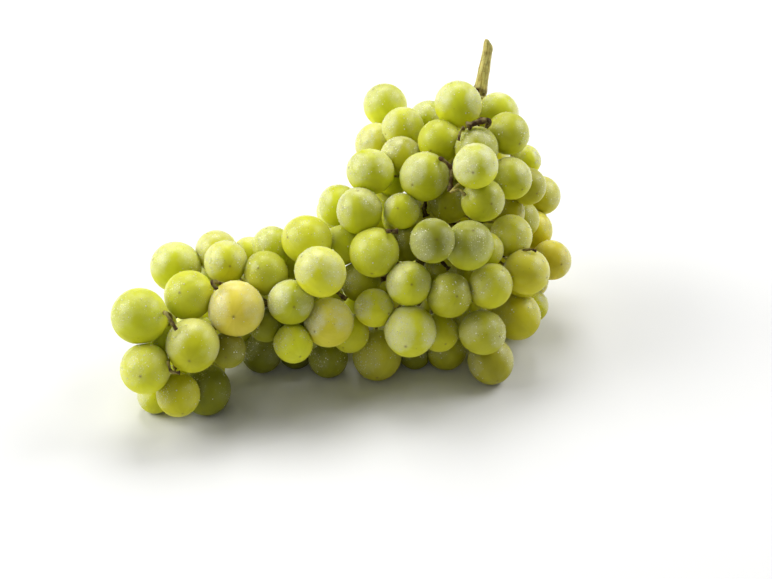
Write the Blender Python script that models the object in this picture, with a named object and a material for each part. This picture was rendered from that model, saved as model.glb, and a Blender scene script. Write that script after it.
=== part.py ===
"""Bunch of white grapes, lying on its berries with the stem end raised.

The rachis is one branched woody body.  The berries are fused into one body for each
tier of the bunch, from the crown at the stem to the tip.  All lengths below are in
millimetres and become metres when a mesh is made.
"""

import math

import bmesh
import bpy
import numpy as np
from mathutils import Matrix, Vector

MM = 0.001
SEED = 7

# The direction from which the front of the bunch was measured.
VIEW_TILT = math.radians(35.0)
EYE_DISTANCE = 900.0
AIM = np.array([0.0, 0.0, 38.0])
RIGHT = np.array([1.0, 0.0, 0.0])
UP = np.array([0.0, math.sin(VIEW_TILT), math.cos(VIEW_TILT)])
AWAY = np.array([0.0, math.cos(VIEW_TILT), -math.sin(VIEW_TILT)])

# Berries of the front, nearest first: across, up, diameter, touches the surface.
FRONT = (
    (9.5, 2.5, 19.5, False),
    (10.5, -18, 22, False),
    (-62.5, -8, 24, False),
    (-81.5, -23.5, 23, False),
    (-86.5, -45, 18.5, False),
    (-105, -11.5, 23.5, False),
    (-102.5, -32, 21.5, False),
    (6.5, 33, 15.5, False),
    (16, 47, 21, False),
    (37.5, 52, 19.5, False),
    (19.5, 20.5, 19, False),
    (-11.5, 34, 19.5, False),
    (-4.5, 15, 21, False),
    (-27.5, 7.5, 21.5, False),
    (-23, -14.5, 21, False),
    (40.5, -18, 19.5, False),
    (26.5, -2.5, 19.5, False),
    (44, 1.5, 19, False),
    (35.5, 18.5, 21, False),
    (-67.5, 11.5, 18.5, False),
    (-82.5, -1.5, 21, False),
    (21.5, 63, 18.5, False),
    (30.5, 78, 20, False),
    (-6.5, 49.5, 19.5, False),
    (39.5, 59, 18.5, False),
    (40.5, 37, 18.5, False),
    (-5.5, -7.5, 16.5, False),
    (-41, -5, 19.5, False),
    (-33.5, 21, 21, False),
    (-19.5, 35, 18, False),
    (56, -11, 20.5, False),
    (59, 7.5, 19.5, False),
    (-50.5, 7, 19, False),
    (-71, 16.5, 18, False),
    (-89.5, 9, 21.5, False),
    (44, -30, 19.5, True),
    (-4, -28, 21, True),
    (22.5, -18, 16.5, False),
    (5.5, 56, 17, False),
    (7, 68, 17.5, False),
    (51.5, 65.5, 18, False),
    (52.5, 47, 18, False),
    (42, 16.5, 15, False),
    (52.5, 22.5, 18, False),
    (49.5, 30.5, 15, False),
    (56.5, 29.5, 16, False),
    (69.5, 12.5, 17, False),
    (61.5, 25, 17, False),
    (61, 45, 16, False),
    (47.5, 75, 17, False),
    (-74.5, -42.5, 21, True),
    (-96.5, -44, 15.5, True),
    (-66, -25.5, 15.5, False),
    (-50, -15, 15, False),
    (-35.5, -18.5, 16.5, False),
    (-22.5, -29, 17, True),
    (-37.5, -25.5, 14.5, True),
    (-53.5, -27, 17, True),
    (25, -24.5, 18, True),
    (61, -7, 14.5, False),
    (61.5, 3.5, 14.5, False),
    (65.5, 39.5, 16.5, False),
    (58.5, 54.5, 13, False),
    (-4, 61, 18, False),
    (-0.5, 78.5, 18.5, False),
    (18, 71, 17, False),
    (1.5, 61.5, 16, False),
    (-17.5, 18.5, 17, False),
    (-48, 18, 17, False),
    (-56, 14.5, 15, False),
    (-41, 11.5, 15, False),
    (-25, -3, 15, False),
    (-11, 3.5, 17.5, False),
    (8, 18.5, 15, False),
    (26.5, 36.5, 17.5, False),
    (2.5, 46, 14.5, False),
    (13.5, 58.5, 12.5, False),
    (22.5, 6.5, 15, False),
    (32.5, 6, 14.5, False),
    (12, -26, 14.5, False),
    (-23.5, 32.5, 14.5, False),
    (-94.5, -22, 14.5, False),
    (-89, -34.5, 12, False),
)

# The main axis from the cut end to the tip: x, y, z and the reach of the berries.
MAIN_AXIS = (
    (44.3, 77.0, 114.0, 9.0),
    (41.3, 68.0, 100.0, 25.0),
    (36.0, 55.0, 76.0, 40.0),
    (32.0, 42.0, 54.0, 44.5),
    (23.0, 29.0, 38.0, 44.0),
    (6.0, 21.0, 32.0, 41.0),
    (-17.0, 14.0, 31.0, 36.0),
    (-40.0, 6.0, 31.0, 34.5),
    (-63.0, -9.0, 30.0, 35.0),
    (-82.0, -19.5, 26.0, 33.0),
    (-99.0, -26.0, 24.0, 26.0),
)
AXIS_POINTS = 161

# Tiers: the name and the share of the main axis where each one ends.
TIERS = (
    ("berries_shoulder", 0.33),
    ("berries_body", 0.60),
    ("berries_tail", 1.01),
)

# How the berries lie.
SINK = 0.95
FRONT_PRESS = 0.94
FILL_PRESS = 0.92
REST_PRESS = 0.93
CORE_GAP = 3.4
SETTLE_ROUNDS = 500
FRONT_GIVE = 0.12
FILL_TRIES = 240000
FILL_RADIUS = (7.2, 9.4)
FILL_SHOW = 0.5
FILL_COUNT = 30
OUTLINE_SLACK = 1.8
GROUND_SHARE = 0.25
GROUND_COUNT = 14
REAR_CUT = 0.18
SKIN_DEPTH = 15.0
SECOND_ROUNDS = 200

# The berries that close the openings, in millimetres and shares of their radii.
PLUG_GRID = 0.8
PLUG_STEPS = (1.5, 3.0, 4.5, 6.0, 8.0, 10.0)
PLUG_TRIES = 120000
PLUG_ASIDE = 7.0
PLUG_DEPTH = (-35.0, 75.0)
PLUG_RADIUS = (5.2, 8.6)
PLUG_PRESS = 0.86
PLUG_SKIN = 0.75
PLUG_SLACK = 0.4
PLUG_COUNT = 18
PLUG_LEAST = 2.0

# How the meshes are cut.
BERRY_STRETCH = 1.04
BERRY_FACET = 1.05
NODE_GAP = 0.36
FUSE_LIMIT = 0.962

# Stems: radii of the main axis, the branches and the stalks of single berries.
PEDUNCLE_RADIUS = 2.1
AXIS_END_RADIUS = 0.9
BRANCH_RADIUS = (1.15, 0.8)
STALK_RADIUS = (0.62, 0.95)
BRANCH_SHARES = (0.55, 0.45, 0.35, 0.25, 0.15)
BRANCH_ROOM = 0.5
STALK_REACH = 30.0
STALK_STEP = 0.2
STALKS_A_BRANCH = 4


def spline(nodes, count):
    """Return points on a smooth curve through the nodes."""
    first = 2 * nodes[0] - nodes[1]
    last = 2 * nodes[-1] - nodes[-2]
    held = np.vstack([first, nodes, last])
    place = np.linspace(0.0, len(nodes) - 1.0, count)
    step = np.minimum(place.astype(int), len(nodes) - 2)
    f = (place - step)[:, None]
    a, b, c, d = held[step], held[step + 1], held[step + 2], held[step + 3]
    square = (2 * a - 5 * b + 4 * c - d) * f**2
    cube = (3 * b - a - 3 * c + d) * f**3
    return 0.5 * (2 * b + (c - a) * f + square + cube)


CURVE = spline(np.array(MAIN_AXIS), AXIS_POINTS)
AXIS = CURVE[:, :3]
REACH = CURVE[:, 3]


def from_view(across, up, depth):
    """Turn view measures into points in space."""
    widen = 1.0 + depth / EYE_DISTANCE
    sideways = (across * widen)[:, None] * RIGHT
    upward = (up * widen)[:, None] * UP
    return AIM + sideways + upward + depth[:, None] * AWAY


def to_view(points):
    """Turn points in space into view measures."""
    off = points - AIM
    depth = off @ AWAY
    widen = 1.0 + depth / EYE_DISTANCE
    return off @ RIGHT / widen, off @ UP / widen, depth


def nearest_axis(points):
    """Return the index of the nearest axis point and its distance."""
    gap = np.linalg.norm(AXIS[None] - points[:, None], axis=2)
    index = gap.argmin(axis=1)
    return index, gap[np.arange(len(points)), index]


def front_depths(across, up, radius, low):
    """Find how deep each front berry lies, from the reach and the berries before it."""
    count = len(across)
    axis_across, axis_up, axis_depth = to_view(AXIS)
    off = np.hypot(axis_across[None] - across[:, None], axis_up[None] - up[:, None])
    room = np.maximum(REACH[None] - radius[:, None], 1.0)
    skin = axis_depth[None] - np.sqrt(np.maximum(room**2 - off**2, 0.0))
    skin = np.where(off < room, skin, 1e6).min(axis=1)
    side = axis_depth[np.argmin(off - room, axis=1)]
    depth = np.where(skin > 1e5, side, skin)
    slope = up * UP[2] / EYE_DISTANCE + AWAY[2]
    lowest = (SINK * radius - AIM[2] - up * UP[2]) / (slope - SINK * radius / EYE_DISTANCE)
    depth = np.minimum(depth + 0.12 * np.arange(count), lowest)
    depth = np.where(low, lowest, depth)
    wish = depth.copy()
    apart = np.hypot(across[:, None] - across[None], up[:, None] - up[None])
    total = radius[:, None] + radius[None]
    later = np.arange(count)[None] > np.arange(count)[:, None]
    covers = apart < 0.93 * total
    give_first = np.where(low[:, None], 0.0, np.where(low[None], 0.5, 0.25))
    give_second = np.where(low[None], 0.0, np.where(low[:, None], 0.5, 0.25))
    for _ in range(700):
        widen = 1.0 + depth / EYE_DISTANCE
        widen = (widen[:, None] + widen[None]) / 2
        need = FRONT_PRESS * total * widen
        wide = apart * widen
        ahead = depth[None] - depth[:, None]
        sign = np.where(covers, 1.0, np.where(ahead >= 0, 1.0, -1.0))
        short = np.sqrt(np.maximum(need**2 - wide**2, 0.0)) - sign * ahead
        short = np.where(later & (wide < need) & (short > 0.02), short, 0.0)
        push = (sign * short * give_second).sum(axis=0)
        push = push - (sign * short * give_first).sum(axis=1)
        depth = depth + np.clip(push, -1.5, 1.5) + 0.01 * (wish - depth)
        depth = np.where(low, lowest, np.minimum(depth, lowest))
    return depth


def disc_samples():
    """Return points spread over a unit disc."""
    inner = np.linspace(0.0, 2 * math.pi, 7)[:-1]
    outer = np.linspace(0.0, 2 * math.pi, 17)[:-1]
    middle = np.zeros((1, 2))
    inside = 0.5 * np.stack([np.cos(inner), np.sin(inner)], axis=1)
    outside = 0.93 * np.stack([np.cos(outer), np.sin(outer)], axis=1)
    return np.vstack([middle, inside, outside])


def shown_share(point, radius, across, up, depth, disc, samples):
    """Return the share of a berry left in sight, far over 1 if it breaks the outline."""
    own_across, own_up, own_depth = to_view(point[None])
    own_disc = radius / (1.0 + own_depth[0] / EYE_DISTANCE)
    px = own_across[0] + samples[:, 0] * own_disc
    py = own_up[0] + samples[:, 1] * own_disc
    gap = np.hypot(px[:, None] - across[None], py[:, None] - up[None])
    skin = depth - np.sqrt(np.maximum(disc**2 - gap**2, 0.0))
    bulge = own_disc * np.sqrt(np.maximum(1.0 - (samples**2).sum(axis=1), 0.0))
    mine = own_depth[0] - bulge
    covered = ((gap < disc[None]) & (skin < mine[:, None])).any(axis=1)
    outside = (gap > disc[None] + OUTLINE_SLACK).all(axis=1)
    return 1.0 - covered.mean() + 10.0 * outside.mean()


def fill_bunch(points, radii, generator):
    """Add the berries of the back, the underside and the inside."""
    points = list(points)
    radii = list(radii)
    across, up, depth = to_view(np.array(points))
    disc = np.array(radii) / (1.0 + depth / EYE_DISTANCE)
    samples = disc_samples()
    lowest = AXIS.min(axis=0) - 45.0
    highest = AXIS.max(axis=0) + 45.0
    tries = lowest + (highest - lowest) * generator.random((FILL_TRIES, 3))
    sizes = generator.uniform(FILL_RADIUS[0], FILL_RADIUS[1], FILL_TRIES)
    ground = generator.random(FILL_TRIES) < GROUND_SHARE
    tries[:, 2] = np.where(ground, SINK * sizes, tries[:, 2])
    index, gap = nearest_axis(tries)
    rear = np.clip(((tries - AXIS[index]) @ AWAY) / gap, 0.0, 1.0)
    reach = REACH[index] * (1.0 - REAR_CUT * rear)
    fits = gap <= reach - 0.9 * sizes
    fits &= gap >= sizes + CORE_GAP + 1.0
    fits &= tries[:, 2] >= SINK * sizes - 1e-6
    fits &= ground | (reach - gap < SKIN_DEPTH)
    order = np.argsort(~ground, kind="stable")
    resting = 0
    for pick in order[fits[order]]:
        if ground[pick] and resting >= GROUND_COUNT:
            continue
        if len(points) >= len(disc) + FILL_COUNT:
            break
        point = tries[pick]
        size = sizes[pick]
        gap = np.linalg.norm(np.array(points) - point, axis=1)
        if (gap < FILL_PRESS * (np.array(radii) + size)).any():
            continue
        if shown_share(point, size, across, up, depth, disc, samples) > FILL_SHOW:
            continue
        points.append(point)
        radii.append(size)
        resting += int(ground[pick])
    return np.array(points), np.array(radii)


def nearest_tree(members, over):
    """Return the pairs that join the members with the least gaps, as a tree."""
    inside = [members[0]]
    outside = list(members[1:])
    pairs = []
    while outside:
        block = over[np.ix_(inside, outside)]
        row, column = divmod(int(block.argmin()), len(outside))
        pairs.append((inside[row], outside[column]))
        inside.append(outside.pop(column))
    return pairs


def first_tiers(points):
    """Give each berry the tier of the main axis next to it."""
    index, _ = nearest_axis(points)
    ends = np.array([end for _, end in TIERS])
    return np.searchsorted(ends, index / (AXIS_POINTS - 1))


def settle(points, radii, low, front_count, rounds):
    """Press the berries together, with the front ones kept on their sight lines."""
    count = len(points)
    tied = np.zeros((count, count), dtype=bool)
    eye = AIM - EYE_DISTANCE * AWAY
    total = radii[:, None] + radii[None]
    same = np.eye(count, dtype=bool)
    front = np.arange(count) < front_count
    held = np.zeros(count, dtype=bool)
    held[:front_count] = low
    for turn in range(rounds):
        off = points[:, None] - points[None]
        gap = np.linalg.norm(off, axis=2) + same
        over = gap - REST_PRESS * total
        if turn % 20 == 0:
            tied[:] = False
            tier = first_tiers(points)
            for number in range(len(TIERS)):
                members = [int(k) for k in np.nonzero(tier == number)[0]]
                for one, two in nearest_tree(members, over):
                    tied[one, two] = True
                    tied[two, one] = True
        pull = np.where(over < 0.1 * total, over * 0.03, 0.0)
        tie = np.where(tied, np.clip(over, 0.0, 3.0) * 0.25, 0.0)
        pull = np.where(over < 0, over * 0.3, pull)
        pull = np.where(same, 0.0, pull)
        tow = -(off / gap[..., None] * tie[..., None]).sum(axis=1)
        move = tow - (off / gap[..., None] * pull[..., None]).sum(axis=1)
        index, reach = nearest_axis(points)
        outward = (points - AXIS[index]) / reach[:, None]
        move += 0.5 * np.maximum(radii + CORE_GAP - reach, 0.0)[:, None] * outward
        ray = points - eye
        ray = ray / np.linalg.norm(ray, axis=1)[:, None]
        along = 0.5 * (move * ray).sum(axis=1)[:, None] * ray
        aside = FRONT_GIVE * (tow - (tow * ray).sum(axis=1)[:, None] * ray)
        move = np.where(front[:, None], along + aside, move)
        move = np.where(held[:, None], FRONT_GIVE * tow * np.array([1.0, 1.0, 0.0]), move)
        size = np.linalg.norm(move, axis=1)[:, None] + 1e-9
        points = points + move / size * np.minimum(size, 1.0)
        deep = np.maximum(SINK * radii - points[:, 2], 0.0)
        back = deep / np.maximum(-ray[:, 2], 0.2)
        points[:, 2] += np.where(front, 0.0, deep)
        points = points - np.where(front, back, 0.0)[:, None] * ray
    return points


def bare_spots(points, radii):
    """Return the openings that go right through the bunch as seen from the front.

    An opening is a spot that no berry covers and that has berries round it on all sides.
    """
    across, up, depth = to_view(points)
    disc = radii / (1.0 + depth / EYE_DISTANCE)
    wide = np.arange(across.min(), across.max(), PLUG_GRID)
    tall = np.arange(up.min(), up.max(), PLUG_GRID)
    spots = np.stack(np.meshgrid(wide, tall), axis=-1).reshape(-1, 2)
    angles = np.linspace(0.0, 2 * math.pi, 13)[:-1]
    turns = np.stack([np.cos(angles), np.sin(angles)], axis=1)
    spots = spots[~covered(spots, across, up, disc)]
    closed = np.zeros((len(spots), len(turns)), dtype=bool)
    for step in PLUG_STEPS:
        for number, turn in enumerate(turns):
            closed[:, number] |= covered(spots + step * turn, across, up, disc)
    return spots[closed.all(axis=1)]


def covered(spots, across, up, disc):
    """Tell which spots of the view lie inside a disc."""
    gap = np.hypot(spots[:, :1] - across[None], spots[:, 1:] - up[None])
    return (gap < 0.985 * disc[None]).any(axis=1)


def plug_bunch(points, radii, generator):
    """Add berries behind the openings that go right through the bunch."""
    spots = bare_spots(points, radii)
    pick = generator.integers(0, len(spots), PLUG_TRIES)
    aside = generator.uniform(-PLUG_ASIDE, PLUG_ASIDE, (PLUG_TRIES, 2))
    depth = generator.uniform(PLUG_DEPTH[0], PLUG_DEPTH[1], PLUG_TRIES)
    sizes = generator.uniform(PLUG_RADIUS[0], PLUG_RADIUS[1], PLUG_TRIES)
    seen = spots[pick] + aside
    tries = from_view(seen[:, 0], seen[:, 1], depth)
    index, gap = nearest_axis(tries)
    fits = (gap <= REACH[index] - PLUG_SKIN * sizes) & (gap >= sizes + CORE_GAP)
    fits &= tries[:, 2] >= SINK * sizes
    seen, tries, sizes, depth = seen[fits], tries[fits], sizes[fits], depth[fits]
    off = np.linalg.norm(tries[:, None] - points[None], axis=2)
    free = (off >= PLUG_PRESS * (radii[None] + sizes[:, None])).all(axis=1)
    seen, tries, sizes, depth = seen[free], tries[free], sizes[free], depth[free]
    disc = sizes / (1.0 + depth / EYE_DISTANCE)
    hides = np.hypot(spots[None, :, 0] - seen[:, :1], spots[None, :, 1] - seen[:, 1:]) < 0.97 * disc[:, None]
    across, up, far = to_view(points)
    flat = radii / (1.0 + far / EYE_DISTANCE)
    rim = np.linspace(0.0, 2 * math.pi, 17)[:-1]
    inside = np.ones(len(seen), dtype=bool)
    for angle in rim:
        edge = seen + disc[:, None] * np.array([math.cos(angle), math.sin(angle)])
        near = np.hypot(edge[:, :1] - across[None], edge[:, 1:] - up[None]) - flat[None]
        inside &= near.min(axis=1) < PLUG_SLACK
    usable = inside.copy()
    added, added_radii = [], []
    while len(added) < PLUG_COUNT and usable.any():
        worth = np.where(usable, hides.sum(axis=1) + 0.02 * sizes, -1.0)
        best = int(worth.argmax())
        if worth[best] < PLUG_LEAST:
            break
        added.append(tries[best])
        added_radii.append(sizes[best])
        hides = hides & ~hides[best][None]
        off = np.linalg.norm(tries - tries[best], axis=1)
        usable &= off >= PLUG_PRESS * (sizes + sizes[best])
    if not added:
        return points, radii
    return np.vstack([points, added]), np.concatenate([radii, added_radii])


def place_berries():
    """Return the centres and radii of all berries, the front ones first."""
    rows = np.array(FRONT, dtype=float)
    across, up, radius = rows[:, 0], rows[:, 1], rows[:, 2] / 2
    low = rows[:, 3] > 0.5
    depth = front_depths(across, up, radius, low)
    points = from_view(across, up, depth)
    radii = radius * (1.0 + depth / EYE_DISTANCE)
    generator = np.random.default_rng(SEED)
    points, radii = fill_bunch(points, radii, generator)
    points = settle(points, radii, low, len(rows), SETTLE_ROUNDS)
    points, radii = plug_bunch(points, radii, generator)
    points = settle(points, radii, low, len(rows), SECOND_ROUNDS)
    return points, radii


def largest_group(members, touching):
    """Return the largest set of members that hold together."""
    left = set(members)
    best = set()
    while left:
        group = {left.pop()}
        edge = set(group)
        while edge:
            near = set()
            for one in edge:
                near |= {int(k) for k in np.nonzero(touching[one])[0]} & left
            left -= near
            group |= near
            edge = near
        if len(group) > len(best):
            best = group
    return best


def sort_tiers(points, radii):
    """Give each berry its tier, so that each tier holds together as one body."""
    index, _ = nearest_axis(points)
    share = index / (AXIS_POINTS - 1)
    ends = np.array([end for _, end in TIERS])
    tier = np.searchsorted(ends, share)
    gap = np.linalg.norm(points[:, None] - points[None], axis=2)
    touching = gap < FUSE_LIMIT * (radii[:, None] + radii[None])
    np.fill_diagonal(touching, False)
    for _ in range(6):
        for number in range(len(TIERS)):
            members = [int(k) for k in np.nonzero(tier == number)[0]]
            best = largest_group(members, touching)
            for one in members:
                if one in best:
                    continue
                others = [int(k) for k in np.nonzero(touching[one])[0] if tier[k] != number]
                if others:
                    nearest = min(others, key=lambda k: abs(int(tier[k]) - number))
                    tier[one] = tier[nearest]
    return tier, touching


def first_hit(start, end, centres, radii):
    """Return which sphere a straight line meets first, and how far along it does."""
    line = end - start
    length = float(np.linalg.norm(line))
    line = line / length
    off = centres - start
    along = off @ line
    aside = (off**2).sum(axis=1) - along**2
    depth = radii**2 - aside
    enter = along - np.sqrt(np.maximum(depth, 0.0))
    enter = np.where((depth > 0) & (along > 0), enter, 1e6)
    which = int(enter.argmin())
    return which, float(enter[which])


def plan_stems(points, radii):
    """Return the branches from root to end, each berry's stalk root and stalk length."""
    index, _ = nearest_axis(points)
    skin = radii * BERRY_FACET * BERRY_STRETCH + NODE_GAP
    branches = []
    used = []
    feet = np.zeros_like(points)
    lengths = np.zeros(len(points))
    for one in np.argsort(index, kind="stable"):
        choices = []
        for number, (start, end) in enumerate(branches):
            foot = end - STALK_STEP * used[number] * (end - start)
            span = float(np.linalg.norm(points[one] - foot))
            if used[number] < STALKS_A_BRANCH and span < STALK_REACH:
                choices.append((span, number, foot))
        found = False
        for _, number, foot in sorted(choices, key=lambda choice: choice[:2]):
            which, enter = first_hit(foot, points[one], points, skin + STALK_RADIUS[0])
            if which == one:
                feet[one] = foot
                lengths[one] = enter
                used[number] += 1
                found = True
                break
        if found:
            continue
        start = AXIS[max(int(index[one]) - 4, 10)]
        feet[one] = start
        for share in BRANCH_SHARES:
            end = start + share * (points[one] - start)
            room = np.linalg.norm(points - end, axis=1) - skin - BRANCH_RADIUS[0]
            _, enter = first_hit(start, end, points, skin + BRANCH_RADIUS[0])
            if room.min() > BRANCH_ROOM and enter > np.linalg.norm(end - start):
                which, enter = first_hit(end, points[one], points, skin + STALK_RADIUS[0])
                branches.append((start, end))
                used.append(1)
                feet[one] = end
                lengths[one] = enter if which == one else 0.0
                break
    return branches, feet, lengths


def add_tube(mesh, path, radii, sides, slant=0.0):
    """Add a closed tube round a path to a bmesh."""
    path = [Vector(p) for p in path]
    guide = Vector((0.31, 0.87, 0.39)).normalized()
    rings = []
    for k, point in enumerate(path):
        after = path[min(k + 1, len(path) - 1)]
        before = path[max(k - 1, 0)]
        along = (after - before).normalized()
        side = along.cross(guide).normalized()
        other = along.cross(side).normalized()
        ring = []
        for turn in range(sides):
            angle = 2 * math.pi * turn / sides
            spot = point + radii[k] * (math.cos(angle) * side + math.sin(angle) * other)
            if k == 0:
                spot = spot + along * slant * math.cos(angle)
            ring.append(mesh.verts.new(spot * MM))
        rings.append(ring)
    for first, second in zip(rings, rings[1:]):
        for k in range(sides):
            n = (k + 1) % sides
            mesh.faces.new((first[k], first[n], second[n], second[k]))
    mesh.faces.new(list(reversed(rings[0])))
    mesh.faces.new(rings[-1])


def mesh_object(name, mesh, collection):
    """Turn a bmesh into an object with outward faces."""
    bmesh.ops.recalc_face_normals(mesh, faces=mesh.faces)
    data = bpy.data.meshes.new(name)
    mesh.to_mesh(data)
    mesh.free()
    made = bpy.data.objects.new(name, data)
    collection.objects.link(made)
    return made


def berry_mesh(centre, radius, outward, planes):
    """Make one faceted berry, cut flat by the given planes."""
    mesh = bmesh.new()
    bmesh.ops.create_icosphere(mesh, subdivisions=2, radius=1.0)
    turn = Vector((0.0, 0.0, 1.0)).rotation_difference(Vector(outward)).to_matrix()
    across = 1.0 - 0.5 * (BERRY_STRETCH - 1.0)
    shape = Matrix.Diagonal((across, across, BERRY_STRETCH))
    size = radius * BERRY_FACET
    for vert in mesh.verts:
        vert.co = (turn @ (shape @ vert.co)) * size + Vector(centre)
    for spot, normal in planes:
        everything = mesh.verts[:] + mesh.edges[:] + mesh.faces[:]
        bmesh.ops.bisect_plane(
            mesh, geom=everything, dist=1e-5, plane_co=Vector(spot), plane_no=Vector(normal), clear_outer=True
        )
        rim = [edge for edge in mesh.edges if edge.is_boundary]
        if rim:
            bmesh.ops.holes_fill(mesh, edges=rim, sides=0)
    bmesh.ops.remove_doubles(mesh, verts=mesh.verts, dist=0.02)
    bmesh.ops.dissolve_degenerate(mesh, edges=mesh.edges, dist=0.02)
    bmesh.ops.triangulate(mesh, faces=mesh.faces)
    for vert in mesh.verts:
        vert.co = vert.co * MM
    return mesh


def contact_planes(one, points, radii, tier):
    """Return the cutting planes of a berry: its neighbours in other tiers and the surface."""
    planes = []
    grow = BERRY_FACET * BERRY_STRETCH
    off = points - points[one]
    gap = np.linalg.norm(off, axis=1)
    near = (gap < grow * (radii + radii[one]) + 1.0) & (tier != tier[one])
    for other in np.nonzero(near)[0]:
        away = off[other] / gap[other]
        middle = (gap[other] ** 2 + radii[one] ** 2 - radii[other] ** 2) / (2 * gap[other])
        planes.append((points[one] + away * (middle - NODE_GAP / 2), away))
    if points[one][2] < grow * radii[one]:
        planes.append((np.array([points[one][0], points[one][1], 0.0]), np.array([0.0, 0.0, -1.0])))
    return planes


def boolean(target, collection, operation):
    """Join or cut a target with every object of a collection, then remove those."""
    step = target.modifiers.new("Join", "BOOLEAN")
    step.operation = operation
    step.operand_type = "COLLECTION"
    step.collection = collection
    step.solver = "MANIFOLD"
    graph = bpy.context.evaluated_depsgraph_get()
    data = bpy.data.meshes.new_from_object(target.evaluated_get(graph))
    target.modifiers.remove(step)
    target.data = data
    for used in list(collection.objects):
        bpy.data.objects.remove(used, do_unlink=True)
    bpy.data.collections.remove(collection)


def keep_largest(target):
    """Keep the largest loose body of an object and tidy its faces."""
    mesh = bmesh.new()
    mesh.from_mesh(target.data)
    bmesh.ops.remove_doubles(mesh, verts=mesh.verts, dist=0.0000005)
    bmesh.ops.triangulate(mesh, faces=mesh.faces)
    left = set(mesh.verts)
    bodies = []
    while left:
        start = left.pop()
        body = {start}
        edge = [start]
        while edge:
            vert = edge.pop()
            for line in vert.link_edges:
                other = line.other_vert(vert)
                if other in left:
                    left.discard(other)
                    body.add(other)
                    edge.append(other)
        bodies.append(body)
    bodies.sort(key=len)
    dropped = [vert for body in bodies[:-1] for vert in body]
    bmesh.ops.delete(mesh, geom=dropped, context="VERTS")
    bmesh.ops.recalc_face_normals(mesh, faces=mesh.faces)
    mesh.to_mesh(target.data)
    mesh.free()


def build_rachis(branches, feet, lengths, outward):
    """Build the woody body: peduncle, main axis, branches and stalks."""
    scene = bpy.context.scene.collection
    parts = bpy.data.collections.new("stem_parts")
    scene.children.link(parts)
    mesh = bmesh.new()
    picks = list(range(0, AXIS_POINTS, 8))
    thick = [PEDUNCLE_RADIUS * 1.08 if k == 0 else PEDUNCLE_RADIUS for k in picks]
    for place, k in enumerate(picks):
        share = max(0.0, (k - 24) / (AXIS_POINTS - 24))
        thick[place] = thick[place] + (AXIS_END_RADIUS - thick[place]) * share
    add_tube(mesh, [AXIS[k] for k in picks], thick, 6, slant=0.9)
    target = mesh_object("rachis", mesh, scene)
    for number, (start, end) in enumerate(branches):
        mesh = bmesh.new()
        add_tube(mesh, [start, end + 0.05 * (end - start)], BRANCH_RADIUS, 4)
        mesh_object(f"branch_{number}", mesh, parts)
    for one in range(len(feet)):
        if lengths[one] <= 1.0:
            continue
        mesh = bmesh.new()
        add_tube(mesh, [feet[one], feet[one] + lengths[one] * outward[one]], STALK_RADIUS, 3)
        mesh_object(f"stalk_{one}", mesh, parts)
    boolean(target, parts, "UNION")
    keep_largest(target)
    return target


def build_tier(name, members, points, radii, outward, tier):
    """Build one tier of berries as one fused body."""
    scene = bpy.context.scene.collection
    parts = bpy.data.collections.new(f"{name}_parts")
    scene.children.link(parts)
    target = None
    for one in members:
        planes = contact_planes(one, points, radii, tier)
        mesh = berry_mesh(points[one], radii[one], outward[one], planes)
        if target is None:
            target = mesh_object(name, mesh, scene)
        else:
            mesh_object(f"{name}_{one}", mesh, parts)
    boolean(target, parts, "UNION")
    keep_largest(target)
    for face in target.data.polygons:
        face.use_smooth = True
    return target


def finish(target, colour, roughness):
    """Give an object its own material."""
    paint = bpy.data.materials.new(f"{target.name}_material")
    paint.use_nodes = True
    shader = paint.node_tree.nodes["Principled BSDF"]
    shader.inputs["Base Color"].default_value = (*colour, 1.0)
    shader.inputs["Roughness"].default_value = roughness
    target.data.materials.clear()
    target.data.materials.append(paint)


def main():
    for old in list(bpy.data.objects):
        bpy.data.objects.remove(old, do_unlink=True)
    points, radii = place_berries()
    tier, _ = sort_tiers(points, radii)
    branches, feet, lengths = plan_stems(points, radii)
    outward = points - feet
    outward = outward / np.linalg.norm(outward, axis=1)[:, None]
    made = [build_rachis(branches, feet, lengths, outward)]
    finish(made[0], (0.42, 0.36, 0.14), 0.6)
    greens = ((0.50, 0.52, 0.16), (0.55, 0.58, 0.20), (0.58, 0.58, 0.22))
    for number, (name, _) in enumerate(TIERS):
        members = [int(k) for k in np.nonzero(tier == number)[0]]
        body = build_tier(name, members, points, radii, outward, tier)
        finish(body, greens[number], 0.3)
        made.append(body)
    lowest = Vector((1e9, 1e9, 1e9))
    highest = Vector((-1e9, -1e9, -1e9))
    for one in made:
        for vert in one.data.vertices:
            lowest = Vector(map(min, lowest, vert.co))
            highest = Vector(map(max, highest, vert.co))
    centre = (lowest + highest) / 2
    for one in made:
        one.data.transform(Matrix.Translation((-centre.x, -centre.y, -lowest.z)))


main()
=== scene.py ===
"""Bunch of white table grapes lying on its side, with a fine dew on its berries.

The rachis is a branched woody stem.  Every berry is a closed skin that is pressed flat
where it meets its neighbours and the surface it lies on.  Lengths are worked out in
millimetres and become metres when a mesh is made.
"""

from __future__ import annotations

import logging
import math
from dataclasses import dataclass, field
from enum import Enum

import bpy
import numpy as np
from mathutils import Matrix, Vector


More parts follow.
